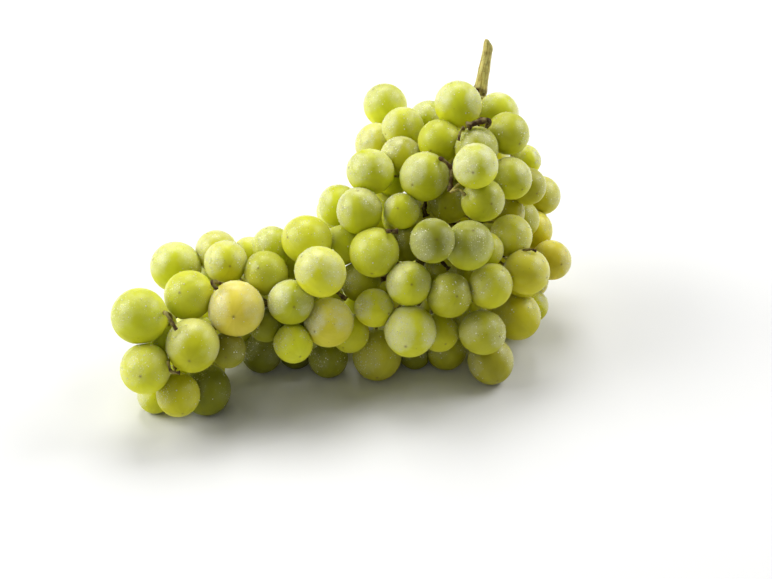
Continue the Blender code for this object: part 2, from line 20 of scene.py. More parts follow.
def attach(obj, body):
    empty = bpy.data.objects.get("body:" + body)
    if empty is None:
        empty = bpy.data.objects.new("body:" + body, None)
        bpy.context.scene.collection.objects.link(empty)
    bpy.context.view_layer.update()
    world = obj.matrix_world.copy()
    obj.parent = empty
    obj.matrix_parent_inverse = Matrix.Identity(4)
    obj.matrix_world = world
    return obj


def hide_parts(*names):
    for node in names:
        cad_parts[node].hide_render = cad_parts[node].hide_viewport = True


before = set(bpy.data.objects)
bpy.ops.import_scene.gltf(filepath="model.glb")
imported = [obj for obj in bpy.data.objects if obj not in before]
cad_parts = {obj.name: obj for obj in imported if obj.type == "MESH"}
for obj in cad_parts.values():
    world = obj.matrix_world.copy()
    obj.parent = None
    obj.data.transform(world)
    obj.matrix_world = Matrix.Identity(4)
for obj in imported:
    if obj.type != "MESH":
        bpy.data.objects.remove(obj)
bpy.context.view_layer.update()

LOG = logging.getLogger("grapes")
MM = 0.001
SEED = 7
FAR = 1e6

Colour = tuple[float, float, float, float]
Thing = bpy.types.Object
Finish = bpy.types.Material
Socket = bpy.types.NodeSocket

VIEW_TILT = math.radians(35.0)
EYE_DISTANCE = 900.0
AIM = np.array([0.0, 0.0, 38.0])
RIGHT = np.array([1.0, 0.0, 0.0])
UP = np.array([0.0, math.sin(VIEW_TILT), math.cos(VIEW_TILT)])
AWAY = np.array([0.0, math.cos(VIEW_TILT), -math.sin(VIEW_TILT)])
MM_PER_PIXEL = 0.42
FRAME_PIXELS = 772

# Where the middle of the bunch's box lies in the measures below.
BOX_MIDDLE = np.array([-14.751654, 15.4444, 0.0])

# Berries of the front, nearest first: across, up and diameter.
FRONT = (
    (9.5, 2.5, 19.5), (10.5, -18, 22), (-62.5, -8, 24), (-81.5, -23.5, 23), (-86.5, -45, 18.5),
    (-105, -11.5, 23.5), (-102.5, -32, 21.5), (6.5, 33, 15.5), (16, 47, 21), (37.5, 52, 19.5),
    (19.5, 20.5, 19), (-11.5, 34, 19.5), (-4.5, 15, 21), (-27.5, 7.5, 21.5), (-23, -14.5, 21),
    (40.5, -18, 19.5), (26.5, -2.5, 19.5), (44, 1.5, 19), (35.5, 18.5, 21), (-67.5, 11.5, 18.5),
    (-82.5, -1.5, 21), (21.5, 63, 18.5), (30.5, 78, 20), (-6.5, 49.5, 19.5), (39.5, 59, 18.5),
    (40.5, 37, 18.5), (-5.5, -7.5, 16.5), (-41, -5, 19.5), (-33.5, 21, 21), (-19.5, 35, 18),
    (56, -11, 20.5), (59, 7.5, 19.5), (-50.5, 7, 19), (-71, 16.5, 18), (-89.5, 9, 21.5),
    (44, -30, 19.5), (-4, -28, 21), (22.5, -18, 16.5), (5.5, 56, 17), (7, 68, 17.5),
    (51.5, 65.5, 18), (52.5, 47, 18), (42, 16.5, 15), (52.5, 22.5, 18), (49.5, 30.5, 15),
    (56.5, 29.5, 16), (69.5, 12.5, 17), (61.5, 25, 17), (61, 45, 16), (47.5, 75, 17),
    (-74.5, -42.5, 21), (-96.5, -44, 15.5), (-66, -25.5, 15.5), (-50, -15, 15),
    (-35.5, -18.5, 16.5), (-22.5, -29, 17), (-37.5, -25.5, 14.5), (-53.5, -27, 17), (25, -24.5, 18),
    (61, -7, 14.5), (61.5, 3.5, 14.5), (65.5, 39.5, 16.5), (58.5, 54.5, 13), (-4, 61, 18),
    (-0.5, 78.5, 18.5), (18, 71, 17), (1.5, 61.5, 16), (-17.5, 18.5, 17), (-48, 18, 17),
    (-56, 14.5, 15), (-41, 11.5, 15), (-25, -3, 15), (-11, 3.5, 17.5), (8, 18.5, 15),
    (26.5, 36.5, 17.5), (2.5, 46, 14.5), (13.5, 58.5, 12.5), (22.5, 6.5, 15), (32.5, 6, 14.5),
    (12, -26, 14.5), (-23.5, 32.5, 14.5), (-94.5, -22, 14.5), (-89, -34.5, 12),
)

# Those of them that touch the surface.
LOW = (35, 36, 50, 51, 55, 56, 57, 58)

# The main axis from the cut end to the tip: x, y, z and the reach of the berries.
MAIN_AXIS = (
    (44.3, 77.0, 114.0, 9.0),
    (41.3, 68.0, 100.0, 25.0),
    (36.0, 55.0, 76.0, 40.0),
    (32.0, 42.0, 54.0, 44.5),
    (23.0, 29.0, 38.0, 44.0),
    (6.0, 21.0, 32.0, 41.0),
    (-17.0, 14.0, 31.0, 36.0),
    (-40.0, 6.0, 31.0, 34.5),
    (-63.0, -9.0, 30.0, 35.0),
    (-82.0, -19.5, 26.0, 33.0),
    (-99.0, -26.0, 24.0, 26.0),
)
AXIS_POINTS = 161
BERRY_FACET = 1.05
BERRY_STRETCH = 1.04
NODE_GAP = 0.36
FUSE_LIMIT = 0.962
STALK_RADIUS = 0.62
BRANCH_RADIUS = 1.15

# Blossom scars that can be seen: the berry, and the scar across and up from its middle.
SCARS = {
    8: (-5.0, -3.8), 7: (-1.5, 0.8), 12: (-1.0, -8.8), 0: (1.0, -0.4), 16: (2.7, -0.4),
    1: (-1.9, -6.1), 14: (-5.2, -3.4), 26: (5.6, -2.1), 28: (-7.3, 0.8), 13: (-7.1, 5.9),
    19: (2.3, -1.7), 2: (-0.2, -3.1), 3: (-0.4, -5.9), 6: (-0.8, -2.5), 33: (-3.8, 7.5),
    46: (3.6, -1.9), 48: (3.6, -3.4), 15: (6.5, -1.5), 18: (1.3, 5.6), 17: (4.4, 6.0),
    5: (-10.8, -1.0), 22: (-3.0, 8.6), 64: (-5.0, 6.5), 34: (-9.0, 3.0),
}

# Bare bits of stem that show between the berries: across and up of their points, their
# radius and how brown they are.
SCRAPS = (
    (((43.5, 70.5), (39.0, 70.5), (34.0, 68.5)), 1.25, 1.0),
    (((32.5, 68.0), (31.0, 65.5), (30.5, 62.5)), 0.55, 0.7),
    (((23.0, 55.0), (27.5, 51.0), (27.5, 47.0), (27.0, 41.0)), 0.95, 0.9),
    (((27.5, 41.5), (30.5, 42.0), (33.5, 39.5)), 0.5, 0.35),
    (((16.5, 36.5), (16.0, 33.5), (17.0, 30.5)), 0.95, 0.95),
    (((1.0, 24.5), (5.0, 24.5)), 0.8, 0.95),
    (((23.5, 11.5), (26.5, 8.5)), 0.75, 0.95),
    (((-19.5, -2.0), (-16.5, -4.0)), 0.85, 0.95),
    (((-73.0, 3.5), (-71.0, 0.0)), 0.7, 0.8),
    (((-93.0, -9.5), (-90.5, -13.0), (-88.0, -17.0)), 0.7, 0.6),
    (((-91.5, -31.0), (-90.0, -34.5), (-86.5, -35.0)), 0.6, 0.7),
    (((60.0, 16.8), (63.2, 16.2)), 0.50, 0.95),
)

# Berries with painted shade where they lie low, deep or overhung: the share of their colour kept.
PAINTED_SHADES = {
    10: 0.42, 15: 0.68, 16: 0.82, 17: 0.90, 18: 0.75, 24: 0.75, 25: 0.80, 27: 0.88, 32: 0.72,
    35: 0.62, 36: 0.80, 41: 0.90, 45: 0.85, 46: 0.90, 48: 0.80, 61: 0.85, 50: 0.38, 52: 0.42,
    53: 0.50, 54: 0.33, 55: 0.40, 56: 0.22, 57: 0.33, 58: 0.60, 79: 0.30, 73: 0.50, 74: 0.80,
}

# Golden berries, and how much gold they have.
RIPE = {2: 0.8, 14: 0.55, 46: 0.4, 31: 0.3, 36: 0.3, 35: 0.35, 52: 0.3}

# Berries that have kept most of their bloom, and so the most painted sheen.
BLOOMY = (
    0, 1, 2, 3, 7, 8, 9, 11, 13, 14, 19, 22, 23, 26, 27, 29, 33, 34, 38, 39, 49, 51, 59, 62,
    63, 64, 65, 68, 69, 80,
)

# Where the dew and the painted sheen of the bloom lie on a berry, on the sides that face the lights:
# which way, and its share on the left and on the right of the bunch.
DEW_AND_SHEEN_ZONES = (
    ((-0.75, -0.35, 0.55), 1.0, 0.55),
    ((0.83, -0.23, 0.50), 0.55, 0.85),
    ((0.0, 0.48, 0.88), 0.60, 0.60),
    ((0.0, 0.95, 0.30), 0.70, 0.70),
)

# The soft lights: name, place, side, power, and the height they are aimed at.
LIGHTS = (
    ("window", (-0.04, 0.66, 1.12), 0.65, 9.8, 0.04),
    ("left", (-1.02, 0.02, 0.76), 0.9, 14.0, 0.05),
    ("right", (0.87, 0.36, 0.80), 0.7, 8.5, 0.05),
    ("front", (-0.35, -1.15, 0.85), 1.3, 1.7, 0.05),
)


class Tier(Enum):
    """The three tiers of berries, with the share of the main axis where each ends."""

    SHOULDER = ("berries_shoulder", 0.33)
    BODY = ("berries_body", 0.60)
    TAIL = ("berries_tail", 1.01)


TIERS = tuple(Tier)


def spline(nodes: np.ndarray, count: int) -> np.ndarray:
    """Lay a smooth curve through the nodes.

    Between two nodes the point is the cubic that leaves each node along the line
    joining its two neighbours.

    Args:
        nodes: One row for each node.
        count: How many points to return.

    Returns:
        One row for each point of the curve.
    """
    first = 2 * nodes[0] - nodes[1]
    last = 2 * nodes[-1] - nodes[-2]
    held = np.vstack([first, nodes, last])
    place = np.linspace(0.0, len(nodes) - 1.0, count)
    step = np.minimum(place.astype(int), len(nodes) - 2)
    f = (place - step)[:, None]
    a, b, c, d = held[step], held[step + 1], held[step + 2], held[step + 3]
    square = (2 * a - 5 * b + 4 * c - d) * f**2
    cube = (3 * b - a - 3 * c + d) * f**3
    return 0.5 * (2 * b + (c - a) * f + square + cube)


CURVE = spline(np.array(MAIN_AXIS), AXIS_POINTS)
AXIS = CURVE[:, :3]
REACH = CURVE[:, 3]


def from_view(across: np.ndarray, up: np.ndarray, depth: np.ndarray) -> np.ndarray:
    """Turn view measures into points in space.

    Args:
        across: Measures to the right of the aim.
        up: Measures above the aim.
        depth: Distances beyond the aim.

    Returns:
        One point for each measure.
    """
    widen = 1.0 + depth / EYE_DISTANCE
    sideways = (across * widen)[:, None] * RIGHT
    upward = (up * widen)[:, None] * UP
    return AIM + sideways + upward + depth[:, None] * AWAY


def to_view(points: np.ndarray) -> tuple[np.ndarray, np.ndarray, np.ndarray]:
    """Turn points in space into view measures.

    Args:
        points: One row for each point.

    Returns:
        The measures across, up and in depth.
    """
    off = points - AIM
    depth = off @ AWAY
    widen = 1.0 + depth / EYE_DISTANCE
    return off @ RIGHT / widen, off @ UP / widen, depth


def nearest_axis(points: np.ndarray) -> tuple[np.ndarray, np.ndarray]:
    """Find the point of the main axis nearest to each point.

    Args:
        points: One row for each point.

    Returns:
        The indices of the axis points, and the distances.
    """
    gap = np.linalg.norm(AXIS[None] - points[:, None], axis=2)
    index = gap.argmin(axis=1)
    return index, gap[np.arange(len(points)), index]


def unit(rows: np.ndarray) -> np.ndarray:
    """Scale each row to length one."""
    return rows / np.maximum(np.linalg.norm(rows, axis=-1, keepdims=True), 1e-9)


def ramp(values: np.ndarray, start: float, span: float) -> np.ndarray:
    """Rise evenly from 0 at the start to 1 a span further on, and stay between them."""
    return np.clip((values - start) / span, 0.0, 1.0)


def bell(off: np.ndarray, width: float) -> np.ndarray:
    """Return a hump that is one in the middle: e to minus the square of off over width."""
    return np.exp(-((off / width) ** 2))


def circle(count: int) -> np.ndarray:
    """Spread points evenly round a unit circle."""
    angles = np.linspace(0.0, 2 * math.pi, count, endpoint=False)
    return np.stack([np.cos(angles), np.sin(angles)], axis=1)


def picked(mask: np.ndarray) -> list[int]:
    """List the numbers of the rows for which a mask is true."""
    return [int(k) for k in np.nonzero(mask)[0]]


def seen_radius(radius: np.ndarray, depth: np.ndarray) -> np.ndarray:
    """Shrink a radius to what the view shows of it at its depth."""
    return radius / (1.0 + depth / EYE_DISTANCE)


@dataclass
class BunchLayout:
    """Where every berry, branch and stalk of the bunch lies.

    The front berries follow their measured places.  The others fill the back, the
    underside and the inside by a seeded rule, and all are pressed together.
    """

    sink: float = 0.95
    front_press: float = 0.94
    fill_press: float = 0.92
    rest_press: float = 0.93
    core_gap: float = 3.4
    depth_rounds: int = 700
    depth_rank: float = 0.12
    depth_cover: float = 0.93
    depth_give: tuple[float, float] = (0.25, 0.5)
    depth_least: float = 0.02
    depth_most: float = 1.5
    depth_return: float = 0.01
    rounds: int = 500
    second_rounds: int = 200
    front_give: float = 0.12
    tie_every: int = 20
    tie_reach: float = 3.0
    tie_pull: float = 0.25
    near_reach: float = 0.1
    near_pull: float = 0.03
    overlap_push: float = 0.3
    core_push: float = 0.5
    sight_share: float = 0.5
    most_step: float = 1.0
    least_fall: float = 0.2
    tries: int = 240000
    fill_margin: float = 45.0
    fill_inset: float = 0.9
    fill_radius: tuple[float, float] = (7.2, 9.4)
    fill_show: float = 0.5
    fill_count: int = 30
    outline_slack: float = 1.8
    ground_share: float = 0.25
    ground_count: int = 14
    rear_cut: float = 0.18
    skin_depth: float = 15.0
    plug_grid: float = 0.8
    plug_steps: tuple[float, ...] = (1.5, 3.0, 4.5, 6.0, 8.0, 10.0)
    plug_tries: int = 120000
    plug_aside: float = 7.0
    plug_depth: tuple[float, float] = (-35.0, 75.0)
    plug_radius: tuple[float, float] = (5.2, 8.6)
    plug_press: float = 0.86
    plug_skin: float = 0.75
    plug_slack: float = 0.4
    plug_cover: float = 0.97
    plug_size_worth: float = 0.02
    plug_count: int = 18
    plug_least: float = 2.0
    edge_share: float = 0.985
    tier_passes: int = 6
    branch_uses: int = 4
    branch_back: float = 0.2
    branch_shares: tuple[float, ...] = (0.55, 0.45, 0.35, 0.25, 0.15)
    branch_room: float = 0.5
    stalk_reach: float = 30.0
    root_back: int = 4
    root_first: int = 10
    points: np.ndarray = field(default_factory=lambda: np.zeros((0, 3)))
    radii: np.ndarray = field(default_factory=lambda: np.zeros(0))
    tier: np.ndarray = field(default_factory=lambda: np.zeros(0, dtype=int))
    branches: list[tuple[np.ndarray, np.ndarray]] = field(default_factory=list)
    feet: np.ndarray = field(default_factory=lambda: np.zeros((0, 3)))

    def front_depths(
        self, across: np.ndarray, up: np.ndarray, radius: np.ndarray, low: np.ndarray,
    ) -> np.ndarray:
        """Find how deep each front berry lies.

        Each one starts on the reach of the bunch and is pushed back from those before it.

        Args:
            across: Measures to the right.
            up: Measures upward.
            radius: Radii of the berries.
            low: Which of them touch the surface.

        Returns:
            The depths.
        """
        count = len(across)
        axis_across, axis_up, axis_depth = to_view(AXIS)
        off = np.hypot(axis_across[None] - across[:, None], axis_up[None] - up[:, None])
        room = np.maximum(REACH[None] - radius[:, None], 1.0)
        skin = axis_depth[None] - np.sqrt(np.maximum(room**2 - off**2, 0.0))
        skin = np.where(off < room, skin, FAR).min(axis=1)
        side = axis_depth[np.argmin(off - room, axis=1)]
        depth = np.where(skin > 0.1 * FAR, side, skin)
        slope = up * UP[2] / EYE_DISTANCE + AWAY[2]
        lowest = self.sink * radius - AIM[2] - up * UP[2]
        lowest = lowest / (slope - self.sink * radius / EYE_DISTANCE)
        depth = np.minimum(depth + self.depth_rank * np.arange(count), lowest)
        depth = np.where(low, lowest, depth)
        wish = depth.copy()
        apart = np.hypot(across[:, None] - across[None], up[:, None] - up[None])
        total = radius[:, None] + radius[None]
        later = np.arange(count)[None] > np.arange(count)[:, None]
        covers = apart < self.depth_cover * total
        less, more = self.depth_give
        give_first = np.where(low[:, None], 0.0, np.where(low[None], more, less))
        give_second = np.where(low[None], 0.0, np.where(low[:, None], more, less))
        for _ in range(self.depth_rounds):
            widen = 1.0 + depth / EYE_DISTANCE
            widen = (widen[:, None] + widen[None]) / 2
            need = self.front_press * total * widen
            wide = apart * widen
            ahead = depth[None] - depth[:, None]
            sign = np.where(covers, 1.0, np.where(ahead >= 0, 1.0, -1.0))
            short = np.sqrt(np.maximum(need**2 - wide**2, 0.0)) - sign * ahead
            short = np.where(later & (wide < need) & (short > self.depth_least), short, 0.0)
            push = (sign * short * give_second).sum(axis=0)
            push = push - (sign * short * give_first).sum(axis=1)
            push = np.clip(push, -self.depth_most, self.depth_most)
            depth = depth + push + self.depth_return * (wish - depth)
            depth = np.where(low, lowest, np.minimum(depth, lowest))
        return depth

    def shown_share(
        self, point: np.ndarray, radius: float, front: tuple[np.ndarray, ...], samples: np.ndarray,
    ) -> float:
        """Find the share of a berry that the front berries leave in sight.

        Args:
            point: Middle of the berry.
            radius: Its radius.
            front: Measures across and up, depths and seen radii of the front berries.
            samples: Points on a unit disc.

        Returns:
            The share, which is far over 1 where the berry breaks the outline.
        """
        across, up, depth, disc = front
        own_across, own_up, own_depth = to_view(point[None])
        own_disc = seen_radius(radius, own_depth[0])
        px = own_across[0] + samples[:, 0] * own_disc
        py = own_up[0] + samples[:, 1] * own_disc
        gap = np.hypot(px[:, None] - across[None], py[:, None] - up[None])
        skin = depth - np.sqrt(np.maximum(disc**2 - gap**2, 0.0))
        bulge = own_disc * np.sqrt(np.maximum(1.0 - (samples**2).sum(axis=1), 0.0))
        mine = own_depth[0] - bulge
        covered = ((gap < disc[None]) & (skin < mine[:, None])).any(axis=1)
        outside = (gap > disc[None] + self.outline_slack).all(axis=1)
        return 1.0 - covered.mean() + 10.0 * outside.mean()

    def fill(self, generator: np.random.Generator) -> None:
        """Add the berries of the back, the underside and the inside to those of the front.

        Args:
            generator: The seeded source of random draws.
        """
        across, up, depth = to_view(self.points)
        front = (across, up, depth, seen_radius(self.radii, depth))
        samples = np.vstack([np.zeros((1, 2)), 0.5 * circle(6), 0.93 * circle(16)])
        points, radii = list(self.points), list(self.radii)
        most = len(points) + self.fill_count
        lowest = AXIS.min(axis=0) - self.fill_margin
        highest = AXIS.max(axis=0) + self.fill_margin
        tries = lowest + (highest - lowest) * generator.random((self.tries, 3))
        sizes = generator.uniform(*self.fill_radius, self.tries)
        ground = generator.random(self.tries) < self.ground_share
        tries[:, 2] = np.where(ground, self.sink * sizes, tries[:, 2])
        index, gap = nearest_axis(tries)
        rear = np.clip(((tries - AXIS[index]) @ AWAY) / gap, 0.0, 1.0)
        reach = REACH[index] * (1.0 - self.rear_cut * rear)
        fits = gap <= reach - self.fill_inset * sizes
        fits &= gap >= sizes + self.core_gap + 1.0
        fits &= tries[:, 2] >= self.sink * sizes - 1e-6
        fits &= ground | (reach - gap < self.skin_depth)
        order = np.argsort(~ground, kind="stable")
        resting = 0
        for pick in order[fits[order]]:
            if ground[pick] and resting >= self.ground_count:
                continue
            if len(points) >= most:
                break
            point, size = tries[pick], sizes[pick]
            gap = np.linalg.norm(np.array(points) - point, axis=1)
            if (gap < self.fill_press * (np.array(radii) + size)).any():
                continue
            if self.shown_share(point, size, front, samples) > self.fill_show:
                continue
            points.append(point)
            radii.append(size)
            resting += int(ground[pick])
        self.points, self.radii = np.array(points), np.array(radii)

    def covered(
        self, spots: np.ndarray, across: np.ndarray, up: np.ndarray, disc: np.ndarray,
    ) -> np.ndarray:
        """Tell which spots of the view lie inside a disc.

        Args:
            spots: Spots across and up.
            across: Measures of the discs to the right.
            up: Their measures upward.
            disc: Their radii.

        Returns:
            True for each spot that is covered.
        """
        gap = np.hypot(spots[:, :1] - across[None], spots[:, 1:] - up[None])
        return (gap < self.edge_share * disc[None]).any(axis=1)

    def bare_spots(self) -> np.ndarray:
        """Find the openings that go right through the bunch as seen from the front.

        An opening is a spot that no berry covers and that has berries round it on all sides.

        Returns:
            The spots, across and up.
        """
        across, up, depth = to_view(self.points)
        disc = seen_radius(self.radii, depth)
        wide = np.arange(across.min(), across.max(), self.plug_grid)
        tall = np.arange(up.min(), up.max(), self.plug_grid)
        spots = np.stack(np.meshgrid(wide, tall), axis=-1).reshape(-1, 2)
        turns = circle(12)
        spots = spots[~self.covered(spots, across, up, disc)]
        closed = np.zeros((len(spots), len(turns)), dtype=bool)
        for step in self.plug_steps:
            for number, turn in enumerate(turns):
                closed[:, number] |= self.covered(spots + step * turn, across, up, disc)
        return spots[closed.all(axis=1)]

    def plug(self, generator: np.random.Generator) -> None:
        """Add berries behind the openings that go right through the bunch.

        Of all places that have room, the one that hides the most openings is taken first.

        Args:
            generator: The seeded source of random draws.
        """
        spots = self.bare_spots()
        count = self.plug_tries
        pick = generator.integers(0, len(spots), count)
        aside = generator.uniform(-self.plug_aside, self.plug_aside, (count, 2))
        depth = generator.uniform(*self.plug_depth, count)
        sizes = generator.uniform(*self.plug_radius, count)
        seen = spots[pick] + aside
        tries = from_view(seen[:, 0], seen[:, 1], depth)
        index, gap = nearest_axis(tries)
        fits = (gap <= REACH[index] - self.plug_skin * sizes) & (gap >= sizes + self.core_gap)
        fits &= tries[:, 2] >= self.sink * sizes
        seen, tries, sizes, depth = seen[fits], tries[fits], sizes[fits], depth[fits]
        off = np.linalg.norm(tries[:, None] - self.points[None], axis=2)
        free = (off >= self.plug_press * (self.radii[None] + sizes[:, None])).all(axis=1)
        seen, tries, sizes, depth = seen[free], tries[free], sizes[free], depth[free]
        disc = seen_radius(sizes, depth)
        aside = np.hypot(spots[None, :, 0] - seen[:, :1], spots[None, :, 1] - seen[:, 1:])
        hides = aside < self.plug_cover * disc[:, None]
        across, up, far = to_view(self.points)
        flat = seen_radius(self.radii, far)
        usable = np.ones(len(seen), dtype=bool)
        for turn in circle(16):
            edge = seen + disc[:, None] * turn
            near = np.hypot(edge[:, :1] - across[None], edge[:, 1:] - up[None]) - flat[None]
            usable &= near.min(axis=1) < self.plug_slack
        added, added_radii = [], []
        while len(added) < self.plug_count and usable.any():
            worth = np.where(usable, hides.sum(axis=1) + self.plug_size_worth * sizes, -1.0)
            best = int(worth.argmax())
            if worth[best] < self.plug_least:
                break
            added.append(tries[best])
            added_radii.append(sizes[best])
            hides = hides & ~hides[best][None]
            off = np.linalg.norm(tries - tries[best], axis=1)
            usable &= off >= self.plug_press * (sizes + sizes[best])
        if added:
            self.points = np.vstack([self.points, added])
            self.radii = np.concatenate([self.radii, added_radii])

    @staticmethod
    def nearest_tree(members: list[int], over: np.ndarray) -> list[tuple[int, int]]:
        """Join the members with the least gaps, as a tree.

        Args:
            members: The berries to join.
            over: The gap between each two berries.

        Returns:
            The pairs that are joined.
        """
        inside = [members[0]]
        outside = list(members[1:])
        pairs = []
        while outside:
            block = over[np.ix_(inside, outside)]
            row, column = divmod(int(block.argmin()), len(outside))
            pairs.append((inside[row], outside[column]))
            inside.append(outside.pop(column))
        return pairs

    @staticmethod
    def first_tiers(points: np.ndarray) -> np.ndarray:
        """Give each berry the tier of the main axis next to it.

        Args:
            points: Middles of the berries.

        Returns:
            The number of each berry's tier.
        """
        index, _ = nearest_axis(points)
        ends = np.array([kind.value[1] for kind in TIERS])
        return np.searchsorted(ends, index / (AXIS_POINTS - 1))

    def tied_pairs(self, points: np.ndarray, over: np.ndarray) -> np.ndarray:
        """Tell which berries are joined by the trees of their tiers.

        Args:
            points: Middles of the berries.
            over: The gap between each two berries.

        Returns:
            A table that is true for each pair that is joined.
        """
        tied = np.zeros(over.shape, dtype=bool)
        tier = self.first_tiers(points)
        for number in range(len(TIERS)):
            for one, two in self.nearest_tree(picked(tier == number), over):
                tied[one, two] = tied[two, one] = True
        return tied

    def settle(self, low: np.ndarray, rounds: int) -> None:
        """Press the berries together, with the front ones kept on their sight lines.

        Each round pushes overlapping berries apart by a share of their overlap and
        draws the pairs of each tier's tree together by a share of their gap.

        Args:
            low: Which front berries, the first of all, touch the surface.
            rounds: How many rounds to make.
        """
        points, radii = self.points, self.radii
        count = len(points)
        eye = AIM - EYE_DISTANCE * AWAY
        total = radii[:, None] + radii[None]
        same = np.eye(count, dtype=bool)
        front = np.arange(count) < len(low)
        held = np.zeros(count, dtype=bool)
        held[: len(low)] = low
        for turn in range(rounds):
            off = points[:, None] - points[None]
            gap = np.linalg.norm(off, axis=2) + same
            over = gap - self.rest_press * total
            if turn % self.tie_every == 0:
                tied = self.tied_pairs(points, over)
            pull = np.where(over < self.near_reach * total, over * self.near_pull, 0.0)
            tie = np.where(tied, np.clip(over, 0.0, self.tie_reach) * self.tie_pull, 0.0)
            pull = np.where(over < 0, over * self.overlap_push, pull)
            pull = np.where(same, 0.0, pull)
            tow = -(off / gap[..., None] * tie[..., None]).sum(axis=1)
            move = tow - (off / gap[..., None] * pull[..., None]).sum(axis=1)
            index, reach = nearest_axis(points)
            outward = (points - AXIS[index]) / reach[:, None]
            move += self.core_push * np.maximum(radii + self.core_gap - reach, 0.0)[:, None] * outward
            ray = points - eye
            ray = ray / np.linalg.norm(ray, axis=1)[:, None]
            along = self.sight_share * (move * ray).sum(axis=1)[:, None] * ray
            aside = self.front_give * (tow - (tow * ray).sum(axis=1)[:, None] * ray)
            move = np.where(front[:, None], along + aside, move)
            move = np.where(held[:, None], self.front_give * tow * np.array([1.0, 1.0, 0.0]), move)
            size = np.linalg.norm(move, axis=1)[:, None] + 1e-9
            points = points + move / size * np.minimum(size, self.most_step)
            deep = np.maximum(self.sink * radii - points[:, 2], 0.0)
            back = deep / np.maximum(-ray[:, 2], self.least_fall)
            points[:, 2] += np.where(front, 0.0, deep)
            points = points - np.where(front, back, 0.0)[:, None] * ray
        self.points = points

    @staticmethod
    def largest_group(members: list[int], touching: np.ndarray) -> set[int]:
        """Find the largest set of members that hold together.

        Args:
            members: The berries to sort.
            touching: Which berries touch each other.

        Returns:
            The largest set.
        """
        left = set(members)
        best: set[int] = set()
        while left:
            group = {left.pop()}
            edge = set(group)
            while edge:
                near = set()
                for one in edge:
                    near |= set(picked(touching[one])) & left
                left -= near
                group |= near
                edge = near
            if len(group) > len(best):
                best = group
        return best

    def sort_tiers(self) -> None:
        """Give each berry its tier, so that each tier holds together."""
        self.tier = self.first_tiers(self.points)
        gap = np.linalg.norm(self.points[:, None] - self.points[None], axis=2)
        touching = gap < FUSE_LIMIT * (self.radii[:, None] + self.radii[None])
        np.fill_diagonal(touching, False)
        for _ in range(self.tier_passes):
            for number in range(len(TIERS)):
                members = picked(self.tier == number)
                best = self.largest_group(members, touching)
                for one in members:
                    if one in best:
                        continue
                    others = [k for k in picked(touching[one]) if self.tier[k] != number]
                    if others:
                        nearest = min(others, key=lambda k: abs(int(self.tier[k]) - number))
                        self.tier[one] = self.tier[nearest]

    @staticmethod
    def first_hit(
        start: np.ndarray, end: np.ndarray, centres: np.ndarray, radii: np.ndarray,
    ) -> tuple[int, float]:
        """Find which sphere a straight line meets first.

        Args:
            start: First end of the line.
            end: Second end of the line.
            centres: Middles of the spheres.
            radii: Radii of the spheres.

        Returns:
            The sphere's number and how far along the line it is met.
        """
        line = end - start
        length = float(np.linalg.norm(line))
        line = line / length
        off = centres - start
        along = off @ line
        aside = (off**2).sum(axis=1) - along**2
        depth = radii**2 - aside
        enter = along - np.sqrt(np.maximum(depth, 0.0))
        enter = np.where((depth > 0) & (along > 0), enter, FAR)
        which = int(enter.argmin())
        return which, float(enter[which])

    def share_branch(self, one: int, used: list[int], skin: np.ndarray) -> bool:
        """Root a berry's stalk on the nearest branch that has a clear way to it.

        Args:
            one: The berry.
            used: How many stalks each branch carries so far.
            skin: How far each berry's skin reaches, with its gap.

        Returns:
            Whether a branch was found.
        """
        choices = []
        for number, (start, end) in enumerate(self.branches):
            foot = end - self.branch_back * used[number] * (end - start)
            span = float(np.linalg.norm(self.points[one] - foot))
            if used[number] < self.branch_uses and span < self.stalk_reach:
                choices.append((span, number, foot))
        for _, number, foot in sorted(choices, key=lambda choice: choice[:2]):
            which, _ = self.first_hit(foot, self.points[one], self.points, skin + STALK_RADIUS)
            if which == one:
                self.feet[one] = foot
                used[number] += 1
                return True
        return False

    def plan_stems(self) -> None:
        """Lay the branches from the main axis and give each berry the root of its stalk."""
        points = self.points
        index, _ = nearest_axis(points)
        skin = self.radii * BERRY_FACET * BERRY_STRETCH + NODE_GAP
        used: list[int] = []
        self.feet = np.zeros_like(points)
        for one in np.argsort(index, kind="stable"):
            if self.share_branch(one, used, skin):
                continue
            start = AXIS[max(int(index[one]) - self.root_back, self.root_first)]
            self.feet[one] = start
            for share in self.branch_shares:
                end = start + share * (points[one] - start)
                room = np.linalg.norm(points - end, axis=1) - skin - BRANCH_RADIUS
                _, enter = self.first_hit(start, end, points, skin + BRANCH_RADIUS)
                if room.min() > self.branch_room and enter > np.linalg.norm(end - start):
                    self.branches.append((start, end))
                    used.append(1)
                    self.feet[one] = end
                    break

    def build(self) -> None:
        """Work out the whole layout."""
        across, up, wide = np.array(FRONT, dtype=float).T
        low = np.isin(np.arange(len(FRONT)), LOW)
        depth = self.front_depths(across, up, wide / 2, low)
        self.points = from_view(across, up, depth)
        self.radii = wide / 2 * (1.0 + depth / EYE_DISTANCE)
        generator = np.random.default_rng(SEED)
        self.fill(generator)
        self.settle(low, self.rounds)
        self.plug(generator)
        self.settle(low, self.second_rounds)
        self.sort_tiers()
        self.plan_stems()
        LOG.info("layout: %d berries, %d branches", len(self.points), len(self.branches))


def put_in_scene(name: str, data: bpy.types.ID) -> Thing:
    """Make an object of its data and link it to the scene.

    Args:
        name: Name of the object.
        data: Its mesh, light or camera.

    Returns:
        The object.
    """
    made = bpy.data.objects.new(name, data)
    bpy.context.scene.collection.objects.link(made)
    return made


